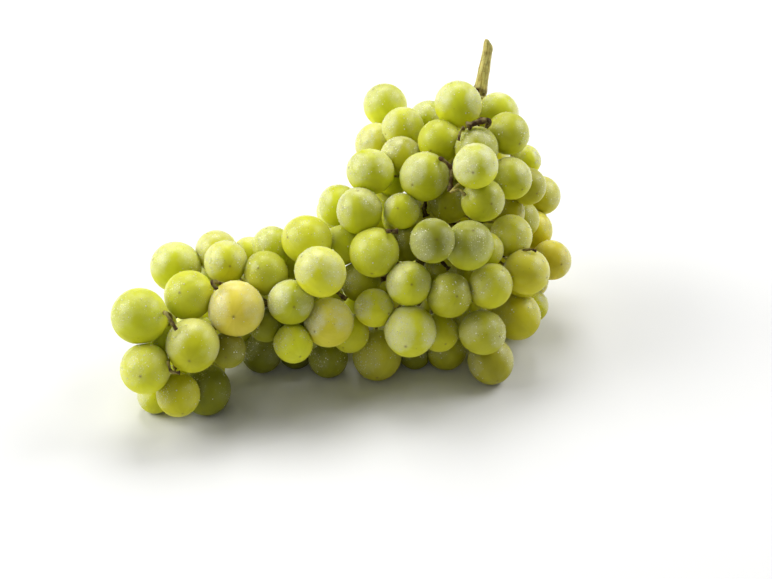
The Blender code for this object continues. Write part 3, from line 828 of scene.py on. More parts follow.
def add_mesh(name: str, verts: np.ndarray, faces: list[list[int]], finish: Finish) -> Thing:
    """Make a smooth piece from points and faces.

    Args:
        name: Name of the piece.
        verts: Points in the layout's millimetres.
        faces: The point numbers of each face.
        finish: The material.

    Returns:
        The new object, at the origin and unturned.
    """
    data = bpy.data.meshes.new(name)
    data.from_pydata(((verts - BOX_MIDDLE) * MM).tolist(), [], faces)
    data.polygons.foreach_set("use_smooth", np.ones(len(data.polygons), dtype=bool))
    data.update()
    data.materials.append(finish)
    return put_in_scene(name, data)


def set_colours(piece: Thing, name: str, values: np.ndarray) -> None:
    """Keep four numbers at each point of a piece, under a name."""
    layer = piece.data.color_attributes.new(name, "FLOAT_COLOR", "POINT")
    layer.data.foreach_set("color", values.astype(np.float32).ravel())


def corner_points(piece: Thing) -> np.ndarray:
    """Return the number of the point at each corner of a piece's faces."""
    corners = np.zeros(len(piece.data.loops), dtype=np.int64)
    piece.data.loops.foreach_get("vertex_index", corners)
    return corners


def set_map(piece: Thing, places: np.ndarray) -> None:
    """Give a piece its map: a place across and upward for each corner."""
    layer = piece.data.uv_layers.new(name="skin")
    layer.data.foreach_set("uv", places.astype(np.float32).ravel())


def closed_faces(
    rings: int, columns: int, blocks: int, start: int = 0,
) -> tuple[list[list[int]], list[list[int]]]:
    """List the faces of equal closed blocks, each a grid of rings and a point at either end.

    Face k of ring j joins points k and k + 1 of ring j with those of ring j + 1.  A fan
    joins the first ring with the point that follows the grid, and another joins the
    last ring with the point after that.

    Args:
        rings: How many rings of points a block has.
        columns: How many points in a ring.
        blocks: How many blocks there are.
        start: Number of the first block's first point.

    Returns:
        The faces with four corners, and those with three.
    """
    ring = np.arange(rings - 1)[:, None] * columns
    column = np.arange(columns)
    after = (column + 1) % columns
    a, b = ring + column, ring + after
    quads = np.stack([a, b, b + columns, a + columns], axis=-1).reshape(-1, 4)
    size = rings * columns
    last = size - columns
    foot = np.stack([np.full(columns, size), after, column], axis=-1)
    head = np.stack([np.full(columns, size + 1), last + column, last + after], axis=-1)
    shift = (start + (size + 2) * np.arange(blocks))[:, None, None]
    fans = np.concatenate([foot, head])
    return (quads + shift).reshape(-1, 4).tolist(), (fans + shift).reshape(-1, 3).tolist()


def frames_for(directions: np.ndarray) -> tuple[np.ndarray, np.ndarray]:
    """Find two directions square to each given one.

    The first is the cross product with the least aligned of the three axes, and the
    second is the cross product of the given direction and the first.

    Args:
        directions: Unit rows.

    Returns:
        Two arrays of unit rows.
    """
    guide = np.eye(3)[np.abs(directions).argmin(axis=-1)]
    side = unit(np.cross(directions, guide))
    return side, np.cross(directions, side)


def turned(side: np.ndarray, other: np.ndarray, angle: np.ndarray) -> np.ndarray:
    """Turn in the plane of two directions: the first times the cosine plus the second times the sine.

    Args:
        side: First directions.
        other: Second directions, square to the first.
        angle: The angles to turn to.

    Returns:
        One row for each direction and angle.
    """
    return side[..., None, :] * np.cos(angle)[:, None] + other[..., None, :] * np.sin(angle)[:, None]


class Shader:
    """A short hand for laying out the nodes of one material."""

    def __init__(self, name: str) -> None:
        """Start a material with its Principled surface."""
        self.material = bpy.data.materials.new(name)
        self.material.use_nodes = True
        self.tree = self.material.node_tree
        self.surface = self.tree.nodes["Principled BSDF"]

    def feed(self, node: bpy.types.Node, sockets: dict[str | int, object]) -> None:
        """Set each socket that is named to its value, or link an output to it.

        Args:
            node: The node.
            sockets: Values or outputs, by the socket's name or number.
        """
        for key, value in sockets.items():
            if isinstance(value, Socket):
                self.tree.links.new(value, node.inputs[key])
            else:
                node.inputs[key].default_value = value

    def node(self, kind: str, sockets: dict[str | int, object], **settings: object) -> bpy.types.Node:
        """Add a node, set its own properties and feed its sockets.

        Args:
            kind: Blender's name for the kind of node.
            sockets: Values or outputs, by the socket's name or number.
            settings: The node's own properties.

        Returns:
            The node.
        """
        made = self.tree.nodes.new(kind)
        for key, value in settings.items():
            setattr(made, key, value)
        self.feed(made, sockets)
        return made

    def dress(self, sockets: dict[str | int, object]) -> Finish:
        """Feed the surface's own sockets and return the material."""
        self.feed(self.surface, sockets)
        return self.material

    def math(self, operation: str, first: object, second: object, clamp: bool = False) -> Socket:
        """Add a math node and return its result."""
        sockets = {0: first, 1: second}
        return self.node("ShaderNodeMath", sockets, operation=operation, use_clamp=clamp).outputs[0]

    def times(self, first: object, second: object) -> Socket:
        """Multiply two numbers."""
        return self.math("MULTIPLY", first, second)

    def mix(self, share: object, first: object, second: object, blend: str = "MIX") -> Socket:
        """Mix two colours and return the result.

        Args:
            share: How much of the second shows.
            first: First colour.
            second: Second colour.
            blend: How they are mixed.

        Returns:
            The mixed colour.
        """
        sockets = {"Factor": share, "A": first, "B": second}
        made = self.node("ShaderNodeMix", sockets, data_type="RGBA", blend_type=blend)
        return made.outputs["Result"]

    def spread(
        self, value: object, low: float, high: float, to_low: float = 0.0, to_high: float = 1.0,
    ) -> Socket:
        """Carry a span of numbers smoothly over to another span.

        Args:
            value: The number.
            low: Start of its span.
            high: End of its span.
            to_low: Start of the new span.
            to_high: End of the new span.

        Returns:
            The number in the new span.
        """
        sockets = {
            "Value": value, "From Min": low, "From Max": high, "To Min": to_low, "To Max": to_high,
        }
        made = self.node("ShaderNodeMapRange", sockets, interpolation_type="SMOOTHSTEP")
        return made.outputs["Result"]

    def place(self) -> Socket:
        """Return the coordinates of the object itself."""
        return self.node("ShaderNodeTexCoord", {}).outputs["Object"]

    def noise(self, scale: float, detail: float, vector: Socket | None = None) -> Socket:
        """Add a noise and return its value.

        Args:
            scale: How fine it is.
            detail: How many layers it has.
            vector: Where it is read, or the object's own coordinates.

        Returns:
            The noise.
        """
        place = self.place() if vector is None else vector
        sockets = {"Vector": place, "Scale": scale, "Detail": detail}
        return self.node("ShaderNodeTexNoise", sockets).outputs["Fac"]

    def streaks(self, across: float, upward: float, detail: float) -> Socket:
        """Add a noise that is stretched along the piece's own map.

        Args:
            across: How fine it is round the piece.
            upward: How fine it is along the piece.
            detail: How many layers it has.

        Returns:
            The noise.
        """
        around = self.node("ShaderNodeUVMap", {}, uv_map="skin").outputs["UV"]
        sockets = {"Vector": around, "Scale": (across, upward, 1.0)}
        return self.noise(1.0, detail, self.node("ShaderNodeMapping", sockets).outputs["Vector"])

    def kept(self, name: str) -> Socket:
        """Return the colour that an attribute keeps."""
        return self.node("ShaderNodeAttribute", {}, attribute_name=name).outputs["Color"]

    def parts(self, colour: Socket) -> tuple[Socket, Socket, Socket]:
        """Return the three parts of a colour."""
        made = self.node("ShaderNodeSeparateColor", {"Color": colour})
        return made.outputs[0], made.outputs[1], made.outputs[2]

    def cells(self, scale: float) -> tuple[Socket, Socket, Socket, Socket]:
        """Return the distance to the nearest of scattered points, and its three draws.

        Args:
            scale: How closely the points lie.

        Returns:
            The distance and the draws.
        """
        sockets = {"Vector": self.place(), "Scale": scale}
        made = self.node("ShaderNodeTexVoronoi", sockets, feature="F1")
        return made.outputs["Distance"], *self.parts(made.outputs["Color"])

    def bump(self, height: Socket, strength: float, distance: float, under: Socket | None = None) -> Socket:
        """Turn a height into relief, on top of the relief that is given.

        Args:
            height: The height.
            strength: How strongly it shows.
            distance: How high a height of one is.
            under: The relief below it.

        Returns:
            The relief.
        """
        sockets = {"Strength": strength, "Distance": distance, "Height": height}
        if under is not None:
            sockets["Normal"] = under
        return self.node("ShaderNodeBump", sockets).outputs["Normal"]


@dataclass(frozen=True)
class GrapeSkin:
    """Satin translucent skin with bloom and painted sheen, faint veins, specks and a mist of dew with
    painted glints.
    """

    # The pale bloom colour, which also serves as painted sheen on the sides that face the lights.
    bloom_and_sheen: Colour = (0.82, 0.82, 0.64, 1.0)
    vein: Colour = (0.66, 0.64, 0.20, 1.0)
    patch: Colour = (0.72, 0.70, 0.30, 1.0)
    speck: Colour = (0.20, 0.16, 0.04, 1.0)
    scar: Colour = (0.16, 0.10, 0.03, 1.0)
    # Near white painted glint of the fine dew drops.
    dew_glint: Colour = (0.95, 0.96, 0.68, 1.0)
    bloom_and_sheen_share: float = 0.70
    speck_share: float = 0.55
    dew_glint_share: float = 0.60
    drop_scale: float = 1250.0
    speck_scale: float = 420.0

    def drops(self, make: Shader, dew_sheen: Socket) -> Socket:
        """Work out the height of the fine dew.

        In each cell the height is one less the square of the distance over the
        cell's own drop size, and never under zero.

        Args:
            make: The material's shader.
            dew_sheen: How dewy the skin is.

        Returns:
            The height, from 0 to 1.
        """
        distance, draw, _, _ = make.cells(self.drop_scale)
        size = make.times(make.times(make.math("POWER", draw, 1.2), 0.52), dew_sheen)
        ratio = make.math("DIVIDE", distance, make.math("ADD", size, 0.001))
        return make.math("SUBTRACT", 1.0, make.times(ratio, ratio), clamp=True)

    def specks(self, make: Shader) -> Socket:
        """Return a mask of small corky dots, one in a few of the cells.

        Args:
            make: The material's shader.

        Returns:
            The mask, from 0 to 1.
        """
        distance, _, draw, _ = make.cells(self.speck_scale)
        near = make.spread(distance, 0.05, 0.12, 1.0, 0.0)
        return make.times(near, make.math("GREATER_THAN", draw, 0.62))

    def bloom_and_sheen_cover(self, make: Shader, dew_sheen: Socket, draw: Socket, clouds: Socket) -> Socket:
        """Work out how much bloom, as painted sheen on the sides that face the lights, covers the skin.

        It is the product of soft clouds, a fine grain, the ramp of the dew and sheen share with
        some unrest, and the berry's own draw.

        Args:
            make: The material's shader.
            dew_sheen: How dewy the skin is.
            draw: How much bloom the berry has kept.
            clouds: The noise of the clouds.

        Returns:
            The share, from 0 to 1.
        """
        grain = make.spread(make.noise(1900.0, 2.0), 0.30, 0.70, 0.65, 1.0)
        unrest = make.spread(make.noise(260.0, 2.0), 0.2, 0.8, -0.16, 0.16)
        dust_and_sheen = make.spread(make.math("ADD", dew_sheen, unrest), 0.10, 0.80)
        dust_and_sheen = make.times(dust_and_sheen, make.math("ADD", make.times(draw, 0.88), 0.12))
        soft = make.times(make.spread(clouds, 0.30, 0.75, 0.55, 1.0), grain)
        return make.times(soft, make.times(dust_and_sheen, self.bloom_and_sheen_share))

    def material(self) -> Finish:
        """Build the material."""
        make = Shader("grape_skin")
        # The second mark is where the dew, the painted sheen and the painted glints go.
        scar, dew_sheen, draw = make.parts(make.kept("marks"))
        clouds = make.noise(150.0, 4.0)
        height = self.drops(make, dew_sheen)
        veins = make.spread(make.streaks(17.0, 2.6, 2.0), 0.30, 0.75, 0.24, 0.0)
        patches = make.spread(make.noise(75.0, 2.0), 0.35, 0.70, 0.0, 0.50)
        body = make.mix(veins, make.kept("tint"), self.vein, "MULTIPLY")
        body = make.mix(patches, body, self.patch, "MULTIPLY")
        body = make.mix(self.bloom_and_sheen_cover(make, dew_sheen, draw, clouds), body, self.bloom_and_sheen)
        body = make.mix(make.times(self.specks(make), self.speck_share), body, self.speck)
        # Painted glints: the fine dew drops are painted near white.
        glint_spots = make.times(make.spread(height, 0.05, 0.6), self.dew_glint_share)
        body = make.mix(glint_spots, body, self.dew_glint)
        body = make.mix(scar, body, self.scar)
        dry = make.math("SUBTRACT", make.spread(clouds, 0.3, 0.7, 0.46, 0.60), make.times(dew_sheen, 0.16))
        sockets = {"Factor": make.spread(height, 0.02, 0.2), "A": dry, "B": 0.06}
        rough = make.node("ShaderNodeMix", sockets, data_type="FLOAT")
        fine = make.bump(make.noise(700.0, 3.0), 0.25, 0.0003)
        return make.dress({
            "Base Color": body,
            "Roughness": rough.outputs["Result"],
            "Normal": make.bump(height, 0.9, 0.00022, fine),
            "Subsurface Weight": 0.92,
            "Subsurface Radius": (0.92, 1.0, 0.14),
            "Subsurface Scale": 0.012,
            "Specular IOR Level": 0.20,
            "Coat Weight": make.math("ADD", make.times(dew_sheen, 0.38), 0.03),
            "Coat Roughness": 0.24,
        })


@dataclass(frozen=True)
class StemBark:
    """Green tan stem that turns brown and corky towards its knots and stalks."""

    fresh: Colour = (0.68, 0.62, 0.20, 1.0)
    fibre: Colour = (0.42, 0.32, 0.06, 1.0)
    brown: Colour = (0.055, 0.026, 0.006, 1.0)
    dot: Colour = (0.12, 0.07, 0.03, 1.0)
    pith: Colour = (0.62, 0.56, 0.34, 1.0)

    def material(self) -> Finish:
        """Build the material."""
        make = Shader("stem_bark")
        aged, cut, _ = make.parts(make.kept("marks"))
        fibres = make.streaks(11.0, 3.0, 3.0)
        patches = make.noise(420.0, 4.0)
        body = make.mix(make.spread(fibres, 0.40, 0.66), self.fresh, self.fibre)
        age = make.math("ADD", aged, make.spread(patches, 0.35, 0.75, -0.25, 0.35), clamp=True)
        body = make.mix(age, body, self.brown)
        dots = make.spread(make.noise(2300.0, 1.0), 0.66, 0.72)
        body = make.mix(make.times(dots, 0.6), body, self.dot)
        return make.dress({
            "Base Color": make.mix(cut, body, self.pith),
            "Roughness": make.spread(patches, 0.3, 0.7, 0.48, 0.72),
            "Normal": make.bump(make.math("ADD", fibres, patches), 0.7, 0.0003),
            "Specular IOR Level": 0.25,
            "Subsurface Weight": 0.08,
            "Subsurface Scale": 0.001,
        })


@dataclass(frozen=True)
class DewWater:
    """Water drops in a pale yellow, mostly opaque colour: painted glint, tinted by the berry seen through
    them.
    """

    # Near white painted glint of the drops, tinted by the berry's colour seen through them.
    colour: Colour = (1.0, 1.0, 0.74, 1.0)

    def material(self) -> Finish:
        """Build the material."""
        make = Shader("dew_water")
        return make.dress({
            "Base Color": self.colour,
            "Roughness": make.spread(make.noise(900.0, 1.0), 0.3, 0.7, 0.0, 0.04),
            "Transmission Weight": 0.15,
            "IOR": 1.33,
        })


@dataclass
class BerrySkins:
    """The skins of all berries, pressed flat where they touch, one piece for each tier."""

    layout: BunchLayout
    rings: int = 29
    columns: int = 38
    press_width: float = 0.20
    press_gap: float = 0.03
    press_reach: float = 1.05
    floor_gap: float = 0.04
    pole_crowding: float = 0.62
    axis_unrest: float = 0.16
    green: tuple[float, float, float] = (0.70, 0.74, 0.026)
    olive: tuple[float, float, float] = (0.67, 0.56, 0.012)
    gold: tuple[float, float, float] = (0.80, 0.66, 0.100)
    pale: tuple[float, float, float] = (0.81, 0.83, 0.070)
    brightest: float = 0.93
    axes: np.ndarray = field(default_factory=lambda: np.zeros((0, 3)))
    shapes: np.ndarray = field(default_factory=lambda: np.zeros((0, 6)))

    def turn_berries(self) -> None:
        """Point each berry from its stalk to its blossom scar, and draw its own shape."""
        layout = self.layout
        generator = np.random.default_rng(SEED + 4)
        count = len(layout.points)
        axes = unit(layout.points - layout.feet)
        axes = unit(axes + self.axis_unrest * generator.normal(size=(count, 3)))
        for one, (across, up) in SCARS.items():
            radius = layout.radii[one]
            toward = math.sqrt(max(radius**2 - across**2 - up**2, 0.0))
            axes[one] = unit(across * RIGHT + up * UP - toward * AWAY)
        self.axes = axes
        self.shapes = generator.random((count, 6))

    def neighbours(self, one: int) -> list[tuple[np.ndarray, float]]:
        """List the planes that press on a berry.

        Args:
            one: The berry.

        Returns:
            The direction of each plane and its distance from the berry's middle.
        """
        points, radii = self.layout.points, self.layout.radii
        off = points - points[one]
        gap = np.linalg.norm(off, axis=1)
        near = (gap > 0) & (gap < self.press_reach * (radii + radii[one]) + 0.4)
        planes = []
        for other in picked(near):
            middle = (gap[other] ** 2 + radii[one] ** 2 - radii[other] ** 2) / (2 * gap[other])
            planes.append((off[other] / gap[other], float(middle) - self.press_gap))
        return planes

    def above(self, rise: np.ndarray) -> np.ndarray:
        """Return what is over zero, with a smooth turn: the logarithm of one plus e to the rise."""
        soft = self.press_width
        return soft * np.log1p(np.exp(np.clip(rise / soft, -40.0, 40.0)))

    def surface(self, one: int, theta: np.ndarray, phi: np.ndarray) -> np.ndarray:
        """Work out points of a berry's skin.

        The skin is a slightly long ball.  Its radius swells by a few hundredths of the
        cosines of two and three times the angle round it, it has a dimple at the stalk and
        a small raised scar at the blossom end, and it is held back smoothly at each plane.

        Args:
            one: The berry.
            theta: Angles from the stalk end.
            phi: Angles round the berry.

        Returns:
            One point for each pair of angles.
        """
        centre, radius, axis = self.layout.points[one], self.layout.radii[one], self.axes[one]
        draw = self.shapes[one]
        side, other = frames_for(axis)
        sine, cosine = np.sin(theta), np.cos(theta)
        swell = 1.0 + 0.016 * draw[0] * np.cos(2 * phi + 6.28 * draw[1]) * sine**2
        swell += 0.010 * draw[2] * np.cos(3 * phi + 6.28 * draw[3]) * sine**3
        swell += 0.02 * (draw[4] - 0.3) * cosine
        stretch = 1.0 + 0.06 * draw[5]
        wide = radius * (1.0 - 0.2 * (stretch - 1.0)) * swell * sine
        tall = -radius * stretch * cosine
        tall = tall + 0.085 * radius * bell(theta, 0.20)
        tall = tall + 0.010 * radius * bell(math.pi - theta, 0.055)
        points = centre + tall[:, None] * axis
        points = points + (wide * np.cos(phi))[:, None] * side + (wide * np.sin(phi))[:, None] * other
        for toward, limit in self.neighbours(one):
            points = points - self.above((points - centre) @ toward - limit)[:, None] * toward
        height = points[:, 2]
        lift = np.where(height < 1.5, self.above(self.floor_gap - height), 0.0)
        points[:, 2] = np.maximum(height + lift, 0.0)
        return points

    def angles(self) -> tuple[np.ndarray, np.ndarray]:
        """Return the angles of the grid, with the rings drawn closer towards the poles."""
        share = np.arange(1, self.rings + 1) / (self.rings + 1)
        wave = np.sin(2 * math.pi * share) / (2 * math.pi)
        theta = math.pi * (share - self.pole_crowding * wave)
        phi = 2 * math.pi * np.arange(self.columns) / self.columns
        full_theta = np.concatenate([np.repeat(theta, self.columns), [0.0, math.pi]])
        full_phi = np.concatenate([np.tile(phi, self.rings), [0.0, 0.0]])
        return full_theta, full_phi

    def tints(self) -> np.ndarray:
        """Choose the colour of each berry: greener at the back, olive to the right, some golden, some with
        painted shade.
        """
        generator = np.random.default_rng(SEED + 9)
        points = self.layout.points
        count = len(points)
        warm = ramp(points[:, 0], 15.0, 55.0) * ramp(points[:, 2], 95.0, -50.0)
        warm = np.clip(0.68 * warm + 0.22 * generator.normal(size=count), 0.0, 1.0)[:, None]
        light = np.clip(0.35 + 0.3 * generator.normal(size=count), 0.0, 1.0)[:, None]
        tint = np.array(self.green) * (1 - warm) + np.array(self.olive) * warm
        tint = tint * (1 - 0.5 * light) + np.array(self.pale) * 0.5 * light
        ripe = np.zeros((count, 1))
        for one, share in RIPE.items():
            ripe[one] = share
        tint = tint * (1 - ripe) + np.array(self.gold) * ripe
        tint = np.clip(tint * (1.0 + 0.07 * generator.normal(size=(count, 1))), 0.004, 0.9)
        # Painted shade on the berries that lie low, deep or overhung.
        for one, share in PAINTED_SHADES.items():
            tint[one] = tint[one] * share
        return tint

    def dew_and_sheen(self, one: int, spots: np.ndarray) -> np.ndarray:
        """Find the share of dew and painted sheen: most at the middle of each zone, and none underneath.

        Args:
            one: The berry.
            spots: Points of its skin.

        Returns:
            A number from 0 to 1 for each point.
        """
        toward = unit(spots - self.layout.points[one])
        share = float(ramp(self.layout.points[one, 0], -10.0, 60.0))
        most = np.zeros(len(spots))
        draws = np.random.default_rng([SEED, one])
        for way, left, right in DEW_AND_SHEEN_ZONES:
            aim = unit(np.array(way) + draws.normal(0.0, 0.15, 3))
            fall = ramp(toward @ aim, draws.uniform(0.42, 0.57), 0.44)
            most = np.maximum(most, (left + (right - left) * share) * fall * fall * (3 - 2 * fall))
        return most

    def painted_glow(self, one: int, spots: np.ndarray) -> np.ndarray:
        """Find how painted light, for the light that comes through a berry, lifts its colour at each point.

        High berries get painted glow underneath and painted shade on top, the lowest a little darker
        underneath.

        Args:
            one: The berry.
            spots: Points of its skin.

        Returns:
            The share of the usual colour, as a column.
        """
        high = self.layout.points[one, 2]
        lean = 0.07 * ramp(high, 40.0, -25.0) - 0.26 * ramp(high, 40.0, 40.0)
        return 1.0 + lean * unit(spots - self.layout.points[one])[:, 2:]

    def blooms(self) -> np.ndarray:
        """Return how much bloom each berry has kept, from 0 to 1."""
        draws = np.random.default_rng(SEED + 12).random(len(self.layout.points))
        draws[: len(FRONT)] *= 0.35
        draws += 0.30 * ramp(self.layout.points[:, 0], 15.0, 30.0)
        draws[list(BLOOMY)] += 0.60
        return draws

    def build(self, kind: Tier, finish: Finish) -> Thing:
        """Build the skins of one tier.

        Args:
            kind: The tier.
            finish: The material.

        Returns:
            The piece.
        """
        name = kind.value[0]
        members = picked(self.layout.tier == TIERS.index(kind))
        theta, phi = self.angles()
        tints, draws = self.tints(), self.blooms()
        scar = bell(math.pi - theta, 0.050) * 0.8
        ends = ramp(theta / math.pi, 0.15, 0.8)[:, None]
        points = [self.surface(one, theta, phi) for one in members]
        tint = np.ones((len(members), len(theta), 4))
        marks = np.ones((len(members), len(theta), 4))
        for place, one in enumerate(members):
            # Painted glow and painted shade go into the berry's colour here.
            lifted = tints[one] * (1.06 - 0.12 * ends) * self.painted_glow(one, points[place])
            tint[place, :, :3] = np.minimum(lifted, self.brightest)
            marks[place, :, 0] = scar
            marks[place, :, 1] = self.dew_and_sheen(one, points[place])
            marks[place, :, 2] = draws[one]
        quads, fans = closed_faces(self.rings, self.columns, len(members))
        piece = add_mesh(f"{name}_skins", np.concatenate(points), quads + fans, finish)
        set_colours(piece, "tint", tint)
        set_colours(piece, "marks", marks)
        self.lay_map(piece, 4 * len(quads), theta, phi)
        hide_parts(name)
        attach(piece, "root")
        LOG.info("%s: %d berries, %d faces", piece.name, len(members), len(piece.data.polygons))
        return piece

    def lay_map(self, piece: Thing, quad_corners: int, theta: np.ndarray, phi: np.ndarray) -> None:
        """Give a tier its map: once round each berry across, and from stalk to scar upward.

        Where a face reaches over the seam, the corners past it go on counting upward.

        Args:
            piece: The tier's piece.
            quad_corners: How many corners its faces with four corners have.
            theta: Angles from the stalk end of one berry's points.
            phi: Angles round it.
        """
        own = corner_points(piece) % len(theta)
        across = phi[own] / (2 * math.pi)
        fan = across[quad_corners:].reshape(-1, 3)
        for corners in (across[:quad_corners].reshape(-1, 4), fan[:, 1:]):
            wraps = np.ptp(corners, axis=1) > 0.5
            corners[wraps] = np.where(corners[wraps] < 0.5, corners[wraps] + 1.0, corners[wraps])
        fan[:, 0] = fan[:, 1:].mean(axis=1)
        set_map(piece, np.stack([across, theta[own] / math.pi], axis=1))


@dataclass
class Dew:
    """Drops of water that stand on the upper skins."""

    skins: BerrySkins
    drops_a_berry: int = 520
    sides: int = 6
    least: float = 0.12
    more: float = 0.26
    clear: float = 0.35
    nudge: float = 0.01

    def land(self, one: int, bloom_and_sheen: float, generator: np.random.Generator) -> tuple[np.ndarray, ...]:
        """Choose where drops stand on a berry.

        Args:
            one: The berry.
            bloom_and_sheen: How much bloom it has kept.
            generator: The seeded source of random draws.

        Returns:
            The drops' places, the directions they stand in, and their sizes.
        """
        layout, skins = self.skins.layout, self.skins
        wish = unit(generator.normal(size=(self.drops_a_berry, 3)))
        axis = skins.axes[one]
        side, other = frames_for(axis)
        theta = np.arccos(np.clip(-(wish @ axis), -1.0, 1.0))
        phi = np.arctan2(wish @ other, wish @ side)
        place = skins.surface(one, theta, phi)
        near = skins.surface(one, theta + self.nudge, phi)
        beside = skins.surface(one, theta, phi + self.nudge / np.maximum(np.sin(theta), 0.1))
        normal = unit(np.cross(beside - place, near - place))
        away = np.linalg.norm(place[:, None] - layout.points[None], axis=2) - layout.radii[None] * 1.02
        away[:, one] = FAR
        dew_sheen = skins.dew_and_sheen(one, place) * (0.35 + 0.65 * bloom_and_sheen)
        keep = (away.min(axis=1) > self.clear) & (generator.random(self.drops_a_berry) < dew_sheen)
        keep &= (place[:, 2] > 2.0) & ((normal * wish).sum(axis=1) > 0.8)
        sizes = self.least + self.more * generator.random(int(keep.sum())) ** 3.0
        return place[keep], normal[keep], sizes

    def build(self, kind: Tier, finish: Finish) -> Thing:
        """Build the drops of one tier.

        Each drop is a low cap: a foot ring just inside the skin, a shoulder ring at four
        tenths of its radius in height, and a top point at six tenths.

        Args:
            kind: The tier.
            finish: The material.

        Returns:
            The piece.
        """
        number = TIERS.index(kind)
        generator = np.random.default_rng(SEED + 20 + number)
        blooms = self.skins.blooms()
        members = picked(self.skins.layout.tier == number)
        landed = [self.land(one, blooms[one], generator) for one in members]
        spots, normals, sizes = (np.concatenate(rows) for rows in zip(*landed))
        ring = turned(*frames_for(normals), 2 * math.pi * np.arange(self.sides) / self.sides)
        size = sizes[:, None, None]
        tall = normals[:, None] * size
        foot = spots[:, None] - 0.12 * tall + ring * size
        shoulder = spots[:, None] + 0.38 * tall + ring * size * 0.72
        base = spots[:, None] - 0.14 * tall
        top = spots[:, None] + 0.60 * tall
        block = np.concatenate([foot, shoulder, base, top], axis=1)
        quads, fans = closed_faces(2, self.sides, len(spots))
        piece = add_mesh(f"dew_{kind.name.lower()}", block.reshape(-1, 3), quads + fans, finish)
        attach(piece, "root")
        LOG.info("%s: %d drops", piece.name, len(spots))
        return piece


@dataclass
class Rachis:
    """The branched stem: peduncle, main axis, branches and the stalks of the berries."""

    skins: BerrySkins
    cut_radius: float = 2.1
    tip_radius: float = 0.9
    stalk: float = 0.60
    scrap: float = 0.62
    sight: tuple[float, float, int] = (-70.0, 70.0, 281)
    points: list[np.ndarray] = field(default_factory=list)
    quads: list[list[int]] = field(default_factory=list)
    fans: list[list[int]] = field(default_factory=list)
    marks: list[np.ndarray] = field(default_factory=list)
    maps: list[np.ndarray] = field(default_factory=list)
    count: int = 0

    def add_tubes(
        self, paths: np.ndarray, radii: np.ndarray, aged: np.ndarray, sides: int,
        ridge: float, slant: float = 0.0, cut: float = 0.0,
    ) -> None:
        """Carry a ring along each of several paths and close both ends.

        A ring's radius is its path's radius times one plus the ridge height times the
        cosine of five times the angle, with a weaker cosine of nine times the angle, and
        each end closes in a point.

        Args:
            paths: Points of each path.
            radii: Radius at each point.
            aged: How brown each point is.
            sides: How many points a ring has.
            ridge: Height of the ridges over the radius.
            slant: How far the first ring leans along the path for each step to the right.
            cut: How much of the cut's pale colour the first end has.
        """
        many, length = paths.shape[:2]
        size = length * sides
        tangent = unit(np.gradient(paths, axis=1))
        guide = np.eye(3)[np.abs(unit(paths[:, -1] - paths[:, 0])).argmin(axis=-1)]
        side = unit(np.cross(tangent, guide[:, None]))
        angle = 2 * math.pi * np.arange(sides) / sides
        ribs = 1.0 + ridge * np.cos(5 * angle) + 0.4 * ridge * np.cos(9 * angle + 1.0)
        swell = (radii[..., None] * ribs)[..., None]
        ring = paths[:, :, None] + swell * turned(side, np.cross(tangent, side), angle)
        steps = np.linalg.norm(np.diff(paths, axis=1), axis=2)
        run = np.concatenate([np.zeros((many, 1)), np.cumsum(steps, axis=1)], axis=1)
        right = np.maximum((ring - paths[:, :, None]) @ RIGHT, -0.7)
        lean = slant * right * np.clip(1.0 - run / 6.0, 0.0, 1.0)[..., None]
        ring = ring + lean[..., None] * tangent[:, :, None]
        block = [ring.reshape(many, size, 3), paths[:, :1], paths[:, -1:]]
        quads, fans = closed_faces(length, sides, many, self.count)
        mark = np.ones((many, size + 2, 4))
        mark[:, :size, 0] = np.repeat(aged, sides, axis=1)
        mark[:, size:, 0] = aged[:, [0, -1]]
        mark[:, :, 1] = 0.0
        mark[:, size, 1] = cut
        turn = np.zeros((many, size + 2, 2))
        turn[:, :size, 0] = np.tile(np.abs(angle / math.pi - 1.0), length)[None]
        turn[:, :size, 1] = np.repeat(run / 20.0, sides, axis=1)
        turn[:, size + 1, 1] = run[:, -1] / 20.0
        self.points.append(np.concatenate(block, axis=1).reshape(-1, 3))
        self.quads += quads
        self.fans += fans
        self.marks.append(mark.reshape(-1, 4))
        self.maps.append(turn.reshape(-1, 2))
        self.count += many * (size + 2)

    def main_axis(self) -> None:
        """Lay the peduncle and the main axis, swollen where a branch leaves."""
        path = spline(AXIS, 420)
        share = np.linspace(0.0, 1.0, len(path))
        radius = self.cut_radius + (self.tip_radius - self.cut_radius) * ramp(share, 0.15, 0.85)
        radius = radius + 0.65 * bell(share - 0.12, 0.055)
        radius = radius * (1.0 - 0.10 * bell(share, 0.0035))
        aged = 0.12 + 0.75 * ramp(share, 0.10, 0.25)
        for start, _ in self.skins.layout.branches:
            off = np.linalg.norm(path - start, axis=1)
            radius = radius * (1.0 + 0.16 * bell(off, 1.7))
            aged = np.maximum(aged, 0.8 * bell(off, 2.2))
        radius = radius * (1.0 + 0.035 * np.sin(share * 150.0) * np.sin(share * 47.0 + 1.0))
        self.add_tubes(path[None], radius[None], aged[None], 20, ridge=0.05, slant=1.05, cut=1.0)

    def branches(self) -> None:
        """Lay the branches, each with a swollen foot and a slight bow."""
        layout = self.skins.layout
        starts = np.array([start for start, _ in layout.branches])
        ends = np.array([end for _, end in layout.branches])
        share = np.linspace(0.0, 1.04, 16)[None, :, None]
        side, _ = frames_for(unit(ends - starts))
        long = np.linalg.norm(ends - starts, axis=1)[:, None, None]
        bow = 0.05 * long * np.sin(math.pi * share) * side[:, None]
        paths = starts[:, None] + share * (ends - starts)[:, None] + bow
        run = share[0, :, 0]
        radius = 1.15 - 0.40 * run + 0.45 * bell(run, 0.12) + 0.22 * bell(run - 0.98, 0.08)
        aged = 0.55 + 0.35 * np.cos(run * 5.0)
        many = len(paths)
        self.add_tubes(paths, np.tile(radius, (many, 1)), np.tile(aged, (many, 1)), 10, ridge=0.04)

